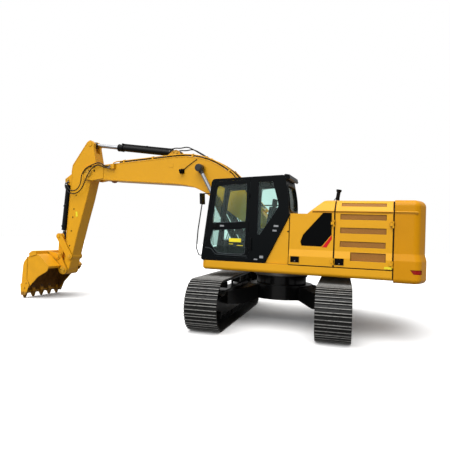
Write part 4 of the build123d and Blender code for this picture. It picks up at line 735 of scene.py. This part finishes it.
# handles: the grab bar on the pillar, the one inside the front pillar, and the door's own
bent_lines("grab_bar", [[(0.362, 1.4895, 1.985), (0.362, 1.530, 1.980), (0.353, 1.530, 1.715),
    (0.353, 1.4895, 1.710)]], 0.009, black_paint, "upper", ease=0.02)
bent_lines("pillar_handle", [[(1.380, 1.385, 2.55), (1.335, 1.350, 2.55), (1.385, 1.350, 2.10),
    (1.430, 1.385, 2.10)]], 0.011, plastic, "upper", ease=0.03)
door_handle = bmesh.new()
flat_plate(door_handle, [(1.165, 2.178), (1.285, 2.176), (1.285, 2.246), (1.165, 2.248)],
    cab_outer + 0.0002, 0.006)
flat_plate(door_handle, [(1.180, 2.196), (1.270, 2.194), (1.270, 2.214), (1.180, 2.216)],
    cab_outer + 0.006, 0.012)
piece("door_handle", door_handle, latch_black, "cab_door")
# raised edge of the door's skin, painted grey as a highlight line
bent_lines("door_edge_highlight", [[(1.445, 1.4915, 1.732), (1.300, 1.4915, 1.727), (1.190, 1.4915, 1.580),
    (0.455, 1.4915, 1.580)]], 0.006, seal_highlight_grey, "cab_door", ease=0.04)
label_grey = finish("label_grey", (0.30, 0.31, 0.32), rough=0.5, shine=0.2, drift=0.05, wear=0.05)
labels = bmesh.new()
for x, z, long, high in ((-0.184, 2.261, 0.052, 0.020), (-0.155, 2.160, 0.044, 0.018),
        (0.122, 1.579, 0.042, 0.028), (0.249, 1.522, 0.040, 0.014)):
    flat_plate(labels, rectangle(x - long, x + long, z - high, z + high), cab_outer + 0.0002, 0.0008)
piece("labels", labels, label_grey, "upper")
# light grey plate beside the door handle: a painted glint
plate_piece("handle_glint_plate", rectangle(1.010, 1.105, 2.215, 2.250), cab_outer + 0.0002, 0.0008, label_grey,
    "cab_door")

# wiper on the windscreen: points of its arm and its blade as distance off the glass, Y and Z
arm = [(0.006, 0.80, 1.76), (0.022, 0.80, 1.80), (0.018, 1.02, 2.24)]
blade = [(0.004, 0.98, 1.86), (0.012, 1.02, 2.24), (0.004, 1.06, 2.62)]
arm, blade = [[(cab_front_x(z) + off, y, z) for off, y, z in line] for line in (arm, blade)]
bent_lines("wiper_arm", [eased(arm, 0.02, closed=False), blade], 0.007, rubber, "upper")

# bolts along the roof's edge and the cab's foot: X, Z, size
cab_bolts = bmesh.new()
for x, z, size in ((1.18, 3.262, 0.011), (0.80, 3.285, 0.011), (0.44, 3.300, 0.011), (-0.10, 3.318, 0.011),
        (1.40, 1.50, 0.013), (0.90, 1.49, 0.013), (0.30, 1.49, 0.013)):
    hex_bolt(cab_bolts, (x, cab_outer + 0.0002, z), (0, 1, 0), size)
piece("cab_bolts", cab_bolts, black_paint, "upper")
# blank yellow plate and two strips on the door's lower pane
window_sign = bmesh.new()
pane_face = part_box("cab_door_glazing")[1].y
flat_plate(window_sign, rectangle(0.606, 0.888, 1.879, 1.962), pane_face + 0.0005, 0.001)
for x_low, x_high, z_low in ((0.560, 0.700, 1.800), (0.790, 0.885, 1.826)):
    flat_plate(window_sign, rectangle(x_low, x_high, z_low, z_low + 0.014), pane_face + 0.0005, 0.001)
piece("window_sign", window_sign, sign_yellow, "cab_door")

# floor mat with ribs, seat bellows, joystick boots and the screen
floor_mat = bmesh.new()
for k in range(24):
    x = 0.70 + 0.031 * k
    prism(floor_mat, rectangle(x, x + 0.020, 0.600, 1.400), 1.5053, 1.5125, Matrix.Identity(4))
piece("floor_mat", floor_mat, rubber, "upper")
bellows = bmesh.new()
fold_count, fold_high, fold_out = 7, 0.046, 0.016
middle, half_long, half_wide = Matrix.Translation((0.355, 0.995, 0)), 0.205, 0.215
for k in range(fold_count):
    low = 1.56 + fold_high * k
    rings = []
    for height, out in ((low, 0.001), (low + fold_high / 2, fold_out), (low + fold_high, 0.001)):
        outline = rectangle(-half_long - out, half_long + out, -half_wide - out, half_wide + out)
        rings.append(ring_at(bellows, outline, height, middle))
    join_rings(bellows, rings[0], rings[1])
    join_rings(bellows, rings[1], rings[2])
piece("seat_bellows", bellows, rubber, "upper")
boots = bmesh.new()
for y in (0.689, 1.301):
    rings = []
    for k in range(9):
        radius = 0.036 - 0.0026 * k + (0.004 if k % 2 else 0.0)
        rings.append(ring_at(boots, disc(radius, 14), 2.1505 + 0.010 * k, Matrix.Translation((0.700, y, 0))))
    for lower, upper in zip(rings, rings[1:]):
        join_rings(boots, lower, upper)
    boots.faces.new(rings[0])
    boots.faces.new(rings[-1])
piece("joystick_boots", boots, rubber, "upper", smooth=30)
screen_glass = finish("screen_glass", (0.010, 0.014, 0.020), rough=0.08, shine=0.6, drift=0.05, wear=0.0,
    grain=0.0)
screen = bmesh.new()
screen_out = Vector((-0.970, 0, 0.242))
prism(screen, rectangle(-0.070, 0.070, -0.050, 0.050), 0.0003, 0.002,
    facing(Vector((1.010, 0.700, 2.335)) + screen_out.normalized() * 0.018, screen_out, (0, 1, 0)))
piece("screen", screen, screen_glass, "upper")


# ================================================================ seat
# Foam pads under woven cloth with piped seams: the pad, the back and a headrest on two stays. The covers
# are crowned in the middle and drawn in at the seams.
def fabric(name, colour, pitch):
    """Woven cloth: crossed threads in the bump, with soft wear in its colour."""
    material = finish(name, colour, rough=0.9, shine=0.15, drift=0.2, patch=4.0, wear=0.0, grain=0.3,
        grain_size=500)
    tree = material.node_tree
    add = node_adder(tree)
    body = surface(material)
    body.inputs["Sheen Weight"].default_value = 0.25
    place = add("TexCoord").outputs["Object"]
    threads = [add("TexWave", place, Scale=1.0 / pitch / 6.283, bands_direction=axis).outputs["Fac"]
        for axis in ("X", "Y")]
    relief = add("Bump", Strength=0.4, Distance=0.001, Height=add("Math", *threads, operation="MULTIPLY"),
        Normal=body.inputs["Normal"].links[0].from_socket)
    tree.links.new(relief.outputs[0], body.inputs["Normal"])
    return material


seat_cloth = fabric("seat_cloth", (0.020, 0.022, 0.026), 0.003)
seat_edge = fabric("seat_edge", (0.010, 0.011, 0.012), 0.003)


def cushion(name, profile, low_y, high_y, crown, pull, flat_low=False):
    """Stuffed pad from a profile in X and Z: crowned faces, sides drawn in between its corners."""
    form = bmesh.new()
    prism(form, profile, low_y, high_y, along_y)
    bmesh.ops.triangulate(form, faces=[f for f in form.faces if len(f.verts) > 4])
    mesh = bpy.data.meshes.new(name)
    form.to_mesh(mesh)
    form.free()
    thing = bpy.data.objects.new(name, mesh)
    bpy.context.collection.objects.link(thing)
    remesh = thing.modifiers.new("even", "REMESH")
    remesh.mode, remesh.voxel_size = "VOXEL", 0.012
    even = evaluated(thing)
    thing.modifiers.clear()
    thing.data = even
    low = Vector([min(v.co[i] for v in even.vertices) for i in range(3)])
    high = Vector([max(v.co[i] for v in even.vertices) for i in range(3)])
    middle, half = (low + high) / 2, (high - low) / 2
    for vert in even.vertices:
        share = Vector([(vert.co[i] - middle[i]) / half[i] for i in range(3)])
        soft = [max(0.0, 1 - s * s) for s in share]
        # each face swells where it is far from its edges and is drawn in close to them
        for i, (j, k) in ((0, (1, 2)), (1, (0, 2)), (2, (0, 1))):
            if flat_low and i == 2 and share[2] < 0:
                continue
            swell = crown * (soft[j] * soft[k]) ** 0.6 - pull * (1 - soft[j] * soft[k]) * abs(share[i]) ** 3
            vert.co[i] += math.copysign(swell, share[i]) * min(1.0, abs(share[i]) ** 2)
    soften = thing.modifiers.new("soften", "SMOOTH")
    soften.iterations, soften.factor = 6, 0.5
    final = evaluated(thing)
    thing.modifiers.clear()
    thing.data = final
    final.materials.clear()
    final.materials.append(seat_cloth)
    final.shade_smooth()
    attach(thing, "upper")
    return thing


seat_pad = cushion("seat_pad", [(0.175, 1.904), (0.640, 1.904), (0.652, 1.960), (0.615, 2.008),
    (0.175, 1.982)], 0.752, 1.238, crown=0.012, pull=0.006, flat_low=True)
cushion("seat_back", [(0.066, 1.930), (0.160, 1.930), (0.160, 1.990), (0.046, 2.690), (-0.050, 2.690)],
    0.752, 1.238, crown=0.012, pull=0.006)
cushion("seat_head", [(-0.046, 2.706), (0.024, 2.706), (0.006, 2.874), (-0.054, 2.874)],
    0.868, 1.122, crown=0.008, pull=0.004)
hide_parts("seat_cushion")
bent_lines("seat_piping", [[(0.62, 0.765, 2.002), (0.62, 1.225, 2.002), (0.19, 1.225, 1.985),
    (0.19, 0.765, 1.985)]], 0.005, seat_edge, "upper", closed=True, ease=0.05)
stays = [[(-0.012, y, 2.660), (-0.016, y, 2.700), (-0.020, y, 2.740)] for y in (0.93, 1.06)]
bent_lines("head_stays", stays, 0.006, bare_steel, "upper")

# ================================================================ boom and its pins
# Welded box of steel plate in yellow, with painted pins rubbed at their rims. Weld beads follow the edges
# of its sides, the nose carries three dark bolts on each cheek, and a small blank plate sits near the stick
# cylinder's foot.
paint(yellow_paint, "boom", "boom_pipes")
pin_paint = finish("pin_paint", (0.66, 0.34, 0.022), (0.25, 0.17, 0.08), rough=0.42, shine=0.3, drift=0.10,
    patch=9.0, edge=0.012, wear=0.7, crease_shade=0.8)
paint(pin_paint, "frame_pins", "boom_pins", "stick_pins")
boom_side = 0.250  # half the boom's width


def cheek_bolts(form, places, y, size, ring=0.0, count=1):
    """Bolts, or rings of them, on both sides of a part, at places in X and Z."""
    for side in (-1, 1):
        for x, z in places:
            bolt_ring(form, Vector((x, side * y, z)), (0, side, 0), ring, count, size)


def inset(points, amount):
    """Open line of points moved to its left by an amount, in X and Z."""
    moved = []
    for k, point in enumerate(points):
        before, after = points[max(k - 1, 0)], points[min(k + 1, len(points) - 1)]
        along = (Vector(after) - Vector(before)).normalized()
        moved.append((point[0] - along.y * amount, point[1] + along.x * amount))
    return moved


def beads(name, runs, y, material, body):
    """Weld beads on both sides of a plate, along lines in X and Z, drawn out in small ripples."""
    lines = [[(x, side * y, z) for x, z in run] for run in runs for side in (-1, 1)]
    bead = bent_lines(name, lines, 0.0065, material, body, order=2)
    for vert in bead.data.vertices:
        vert.co.y *= 1 + 0.0006 * math.sin(vert.co.x * 330) * math.cos(vert.co.z * 330)
    return bead


boom_top = [(0.42, 2.52), (1.290, 3.560), (1.610, 3.775), (1.940, 3.938), (2.260, 4.022), (2.590, 4.062),
    (2.960, 4.052), (5.130, 3.882)]
boom_bottom = [(5.120, 3.452), (4.860, 3.430), (2.900, 3.322), (2.560, 3.282), (2.290, 3.218),
    (2.030, 3.102), (0.50, 2.165)]
beads("boom_welds", [inset(boom_top, -0.020), inset(boom_bottom, -0.020)], boom_side + 0.0005, yellow_paint,
    "boom")
nose_bolts = bmesh.new()
cheek_bolts(nose_bolts, ((5.581, 3.838), (5.463, 3.829), (5.458, 3.715)), 0.2622, 0.026)
cheek_bolts(nose_bolts, ((5.660, 3.650),), 0.2744, 0.014, 0.075, 4)
cheek_bolts(nose_bolts, ((2.970, 4.170),), 0.1425, 0.012, 0.046, 2)
# clamps of the steel pipes on the boom's back
for side in (-1, 1):
    for x, z in ((1.370, 3.705), (2.390, 4.113), (3.570, 4.074), (4.470, 4.003)):
        hex_bolt(nose_bolts, (x, side * 0.226, z), (0.1, 0, 1), 0.012)
piece("nose_bolts", nose_bolts, black_paint, "boom")
plate_piece("boom_sign", rectangle(2.967, 3.090, 3.769, 3.878), boom_side + 0.0002, 0.004, yellow_paint,
    "boom")
lug_brown = finish("lug_brown", (0.20, 0.045, 0.012), rough=0.5, shine=0.2, drift=0.15)
plate_piece("lifting_lug", [(4.855, 3.430), (4.880, 3.400), (4.945, 3.388), (5.010, 3.402), (5.035, 3.440)],
    -0.020, 0.040, lug_brown, "boom")

# dark lines of painted shade laid under each steel pipe, along the boom's top
pipe_shade_black = finish("pipe_shade_black", (0.012, 0.008, 0.003), rough=0.7, shine=0.1, drift=0.2, grain=0.6,
    wear=0.0)
pipe_shade_line = [(0.590, 2.760), (1.262, 3.570), (1.600, 3.797), (1.934, 3.958), (2.256, 4.043), (2.590, 4.083),
    (2.962, 4.073), (4.640, 3.942)]
bent_lines("boom_pipe_shade", [[(x, side * y, z) for x, z in pipe_shade_line] for side in (-1, 1) for y in (0.222, 0.232)],
    0.013, pipe_shade_black, "boom")

# ================================================================ work lamp on the boom
# A round black lamp of pressed steel in a bracket, with a clear stepped lens. It is bolted to the boom's
# side.
paint(latch_black, "boom_lamp")
lens_clear = finish("lens_clear", (0.72, 0.74, 0.74), rough=0.12, metal=0.6, shine=0.6, drift=0.06,
    patch=60.0, wear=0.0)
lens = bmesh.new()
beam = Vector((0.970, 0, -0.242))
lamp_place = facing(Vector((2.690, 0.330, 3.650)) + beam * 0.0352, beam, (0, 1, 0))
for radius, depth in ((0.052, 0.004), (0.040, 0.0055), (0.028, 0.007), (0.015, 0.0085)):
    prism(lens, disc(radius, 28), 0.0, depth, lamp_place)
piece("lamp_lens", lens, lens_clear, "boom")

# ================================================================ stick and its cylinders
# The stick is a long tapered box of welded plate. The cylinders are black steel tubes with chromed rods,
# clamping rings and a bolted gland at the rod's end, and eyes painted like the barrels.
paint(yellow_paint, "stick")
paint(black_paint, "boom_cylinder_barrels", "stick_cylinder_barrel", "bucket_cylinder_barrel")


def rod_finish(name, eye, reach, colour):
    """Chromed rod whose eye is painted: the paint ends at a distance from the eye's centre."""
    chrome = finish(name, (0.40, 0.41, 0.43), (0.3, 0.3, 0.3), rough=0.16, metal=1.0, drift=0.03, wear=0.1,
        grain=0.02)
    add = node_adder(chrome.node_tree)
    parts = add("SeparateXYZ", add("TexCoord").outputs["Object"])
    flat = add("CombineXYZ", X=parts.outputs["X"], Z=parts.outputs["Z"])
    gap = add("VectorMath", flat, (eye[0], 0, eye[1]), operation="DISTANCE")
    overlay(chrome, add("Math", gap, reach, operation="LESS_THAN"), Base_Color=(*colour, 1), Metallic=0.0,
        Roughness=0.4)
    return chrome


# node, centre of the rod's eye in X and Z, reach of the paint
for name, eye, reach in (("boom_cylinder_rods", (2.150, 3.720), 0.185),
        ("stick_cylinder_rod", (5.680, 4.500), 0.150), ("bucket_cylinder_rod", (6.630, 1.810), 0.150)):
    paint(rod_finish(name + "_finish", eye, reach, (0.010, 0.010, 0.011)), name)

stick_side = 0.195  # half the stick's width
stick_rear = [(5.520, 3.560), (5.615, 3.460), (5.745, 2.890), (5.945, 2.160), (6.055, 1.720),
    (6.165, 1.250), (6.250, 0.900)]
stick_front = [(6.425, 0.960), (6.382, 1.600), (6.382, 1.900), (6.277, 3.560), (6.287, 3.700),
    (6.255, 3.890), (5.800, 4.520)]
beads("stick_welds", [inset(stick_rear, 0.004), inset(stick_front, 0.004)], stick_side + 0.0005,
    yellow_paint, "stick")
stick_bolts = bmesh.new()
plug_places = ((6.10, 3.02), (6.16, 2.62), (6.19, 2.38), (6.22, 1.98), (6.26, 1.55), (6.30, 1.25))
cheek_bolts(stick_bolts, plug_places, stick_side + 0.0002, 0.019)
cheek_bolts(stick_bolts, ((6.500, 3.470),), 0.1325, 0.012, 0.040, 2)
cheek_bolts(stick_bolts, ((6.410, 0.830),), 0.2862, 0.012, 0.052, 2)
piece("stick_bolts", stick_bolts, black_paint, "stick")
stick_sign = bmesh.new()
prism(stick_sign, rectangle(-0.075, 0.075, -0.034, 0.034), 0, 0.0015,
    facing((6.06, stick_side + 0.0002, 2.47), (0, 1, 0), (0.1, 0, 1)))
piece("stick_sign", stick_sign, sign_yellow, "stick")


def cylinder_line(base, eye, y):
    """Foot of a cylinder and the direction to its rod's eye, both given in X and Z."""
    return Vector((base[0], y, base[1])), Vector((eye[0] - base[0], 0, eye[1] - base[1])).normalized()


def gland_bands(name, base, eye, y_places, reach, tube, body):
    """Clamping rings round the end of a cylinder's barrel, with bolts in the gland's face."""
    rings = bmesh.new()
    for y in y_places:
        root, along = cylinder_line(base, eye, y)
        for spot, width, proud in ((reach - 0.160, 0.022, 0.020), (reach - 0.020, 0.018, 0.019)):
            place = facing(root + along * spot, along, (0, 1, 0))
            collar(rings, place, tube + proud, tube + 0.0142, 0, width, 32)
        bolt_ring(rings, root + along * (reach + 0.0002), along, tube - 0.004, 8, 0.010)
    piece(name, rings, black_paint, body)


# name, foot and rod's eye in X and Z, Y of each cylinder, reach of the gland, radius of the barrel, body
stick_foot, stick_eye, stick_tube = (2.970, 4.170), (5.680, 4.500), 0.086
gland_bands("boom_glands", (0.800, 1.380), (2.150, 3.720), (-0.371, 0.371), 1.860, 0.084, "boom_barrels")
gland_bands("stick_gland", stick_foot, stick_eye, (0.0,), 1.880, stick_tube, "stick_barrel")
gland_bands("bucket_gland", (6.500, 3.470), (6.630, 1.810), (0.0,), 1.480, 0.080, "bucket_barrel")

# dark strip of painted shade that fills the slit between the stick cylinder and the pipe along it
slit_shade = bmesh.new()
root, along = cylinder_line(stick_foot, stick_eye, 0.0)
out = Vector((-along.z, 0, along.x))
prism(slit_shade, rectangle(0.20, 1.75, stick_tube * 0.97, stick_tube + 0.022), -0.008, 0.008,
    Matrix.Translation(root) @ Matrix((along, out, along.cross(out))).transposed().to_4x4())
piece("stick_slit_shade", slit_shade, rubber, "stick_barrel")

# ================================================================ hydraulic hoses
# Wire-braided rubber hoses with crimped steel ends. A pair loops up over the foot of the stick cylinder,
# and a pair runs over the nose of the boom to the bucket cylinder. The lamp has a thin cable.
hose_rubber = finish("hose_rubber", (0.004, 0.004, 0.004), rough=0.55, shine=0.25, drift=0.15, grain=0.6,
    grain_size=320, wear=0.0)
hose_radius = 0.015
loop_route = [(0.530, 0.176, 2.752), (0.840, 0.176, 3.118), (1.140, 0.176, 3.460), (1.470, 0.176, 3.744),
    (1.810, 0.176, 3.932), (2.140, 0.176, 4.070), (2.420, 0.176, 4.235), (2.610, 0.176, 4.320),
    (2.800, 0.176, 4.280), (2.985, 0.174, 4.300), (3.110, 0.160, 4.240), (3.150, 0.118, 4.222)]
outer_route = [(4.9087, 0.285, 3.8355), (5.0056, 0.285, 3.8116), (5.115, 0.286, 3.850),
    (5.215, 0.287, 3.915), (5.330, 0.289, 3.945), (5.520, 0.291, 3.880), (5.740, 0.292, 3.790),
    (5.872, 0.292, 3.600), (5.880, 0.292, 3.370), (5.980, 0.291, 3.190), (6.150, 0.288, 3.125),
    (6.310, 0.275, 3.190), (6.400, 0.245, 3.300), (6.440, 0.200, 3.400), (6.440, 0.148, 3.405)]
inner_route = [(4.9095, 0.318, 3.7843), (5.0079, 0.318, 3.7667), (5.125, 0.320, 3.812),
    (5.235, 0.322, 3.858), (5.350, 0.325, 3.862), (5.510, 0.327, 3.770), (5.640, 0.328, 3.590),
    (5.730, 0.328, 3.360), (5.850, 0.328, 3.150), (6.020, 0.327, 3.050), (6.210, 0.318, 3.060),
    (6.370, 0.290, 3.150), (6.480, 0.240, 3.280), (6.505, 0.190, 3.372), (6.505, 0.148, 3.380)]
cable_route = [(2.650, 0.271, 3.695), (2.560, 0.264, 3.780), (2.450, 0.260, 3.850), (2.350, 0.260, 3.925),
    (2.280, 0.260, 3.965)]
loops = bent_lines("boom_loop_hoses", [loop_route, [(x, -y, z) for x, y, z in loop_route]], hose_radius,
    hose_rubber, None)
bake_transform(loops)
lamp_cable = bent_lines("lamp_cable", [cable_route], 0.008, hose_rubber, "boom")
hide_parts("boom_hoses")
nose_hoses = bent_lines("nose_hoses", [outer_route, inner_route], hose_radius, hose_rubber, None)
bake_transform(nose_hoses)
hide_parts("stick_hoses")


def crimp(form, start, towards, length):
    """Crimped hose end with its nut, laid along a line."""
    place = facing(start, Vector(towards) - Vector(start), (0.2, 0.9, 0.3))
    prism(form, disc(0.021, 20), 0.0, length, place)
    for k in range(3):
        prism(form, disc(0.0225, 20), length * (0.25 + 0.22 * k), length * (0.33 + 0.22 * k), place)
    prism(form, disc(0.026, 6), -0.016, 0.004, place)


boom_ends, stick_ends, barrel_ends, foot_ends = [bmesh.new() for k in range(4)]
for route in (outer_route, inner_route):
    crimp(boom_ends, route[0], route[1], 0.055)
    crimp(stick_ends, route[-1], route[-2], 0.040)
    x, y, z = route[-1]
    prism(stick_ends, disc(0.024, 16), 0.0, y - 0.119, facing((x, 0.1203, z), (0, 1, 0)))
piece("nose_hose_ends", boom_ends, bare_steel, "boom")
piece("stick_hose_ends", stick_ends, bare_steel, "stick")
for side in (-1, 1):
    end, before = [Vector((x, side * y, z)) for x, y, z in (loop_route[-1], loop_route[-2])]
    crimp(barrel_ends, end, before, 0.038)
    prism(barrel_ends, disc(0.026, 16), 0.0, 0.045, facing((end.x, side * 0.072, end.z), (0, side, 0)))
    start, after = [Vector((x, side * y, z)) for x, y, z in loop_route[:2]]
    crimp(foot_ends, start, after, 0.05)
piece("barrel_hose_ends", barrel_ends, bare_steel, "stick_barrel")
piece("foot_hose_ends", foot_ends, bare_steel, "boom")

# ================================================================ bucket and its links
# Rolled wear steel: yellow outside with the paint rubbed off towards the lip, brown earth and rust inside.
# Forged teeth on adapters, held by cross pins, cutters bolted beside the lip, and a stiffener rolled over
# the wrapper's top.
paint(yellow_paint, "idler_links", "power_link")
bucket_paint = finish("bucket_paint", (0.740, 0.345, 0.0060), (0.26, 0.15, 0.05), rough=0.45, shine=0.28,
    drift=0.07, patch=2.5, grain=0.25, grain_size=60, edge=0.010, wear=0.7, crease_shade=0.8)
add = node_adder(bucket_paint.node_tree)
coords = add("TexCoord")
parts = add("SeparateXYZ", coords.outputs["Object"])
patches = add("TexNoise", coords.outputs["Object"], Scale=9.0, Detail=6.0, Roughness=0.7)
ragged = add("Math", parts.outputs["Z"], add("Math", patches, 0.24, -0.12, operation="MULTIPLY_ADD"),
    operation="ADD")
overlay(bucket_paint, add("MapRange", ragged, From_Min=0.20, From_Max=0.13),
    Base_Color=(0.34, 0.170, 0.026, 1))
# faces turned inwards above the lip are as dark as the inside
turned = add("SeparateXYZ", coords.outputs["Normal"])
inward = add("MapRange", turned.outputs["X"], From_Min=-0.15, From_Max=-0.35)
band = add("Math", add("MapRange", parts.outputs["Z"], From_Min=0.50, From_Max=0.44),
    add("MapRange", parts.outputs["Z"], From_Min=0.22, From_Max=0.28), operation="MULTIPLY")
overlay(bucket_paint, add("Math", inward, band, operation="MULTIPLY"), Base_Color=(0.150, 0.065, 0.015, 1))
paint(bucket_paint, "bucket")
bucket_rust = finish("bucket_rust", (0.190, 0.085, 0.020), (0.10, 0.06, 0.03), rough=0.8, shine=0.05,
    drift=0.35, patch=5.0, grain=0.8, grain_size=45, wear=0.5)

# thin coat inside the bucket: the wrapper's curve in X and Z, and both side plates
hollow = [(6.560, 0.907), (6.620, 0.985), (7.000, 1.300), (7.060, 1.305), (7.150, 1.260), (7.340, 1.075),
    (7.376, 0.990), (7.402, 0.620), (7.406, 0.400), (7.400, 0.330), (7.392, 0.200)]
bucket_inner = 0.7005
liner = bmesh.new()
near, far = [[liner.verts.new((x, y, z)) for x, z in hollow] for y in (-bucket_inner, bucket_inner)]
for k in range(len(hollow) - 1):
    liner.faces.new((near[k], near[k + 1], far[k + 1], far[k]))
side_inside = hollow + [(7.330, 0.170), (7.140, 0.405), (6.890, 0.665), (6.590, 0.830)]
for y in (-bucket_inner, bucket_inner):
    liner.faces.new([liner.verts.new((x, y, z)) for x, z in side_inside])
piece("bucket_liner", liner, bucket_rust, "bucket")

bucket_fixings = bmesh.new()
cheek_bolts(bucket_fixings, ((7.285, 0.440), (7.330, 0.300), (7.375, 0.170)), 0.7502, 0.022)
# strip in two layers on the side plate
for y in (0.7182, 0.7302):
    flat_plate(bucket_fixings, [(7.270, 0.560), (7.300, 0.560), (7.305, 1.185), (7.275, 1.190)], y, 0.012)
# stiffener rolled over the top of the wrapper, level with the tips of the ears
prism(bucket_fixings, [(6.960, 1.270), (6.985, 1.366), (7.060, 1.382), (7.130, 1.366), (7.230, 1.290),
    (7.200, 1.200)], -0.748, 0.748, along_y)
# cross pins of the five teeth
for y in [(k / 4 - 0.5) * 1.310 for k in range(5)]:
    prism(bucket_fixings, disc(0.013, 14), -0.062, 0.062, facing((7.410, y, 0.185), (0, 1, 0)))
piece("bucket_fixings", bucket_fixings, bucket_paint, "bucket")
bucket_welds = [[(7.020, side * 0.252, 1.372), (6.850, side * 0.252, 1.235), (6.640, side * 0.252, 1.020),
    (6.560, side * 0.252, 0.930)] for side in (-1, 1)]
bent_lines("bucket_welds", bucket_welds, 0.009, bucket_paint, "bucket", order=2)
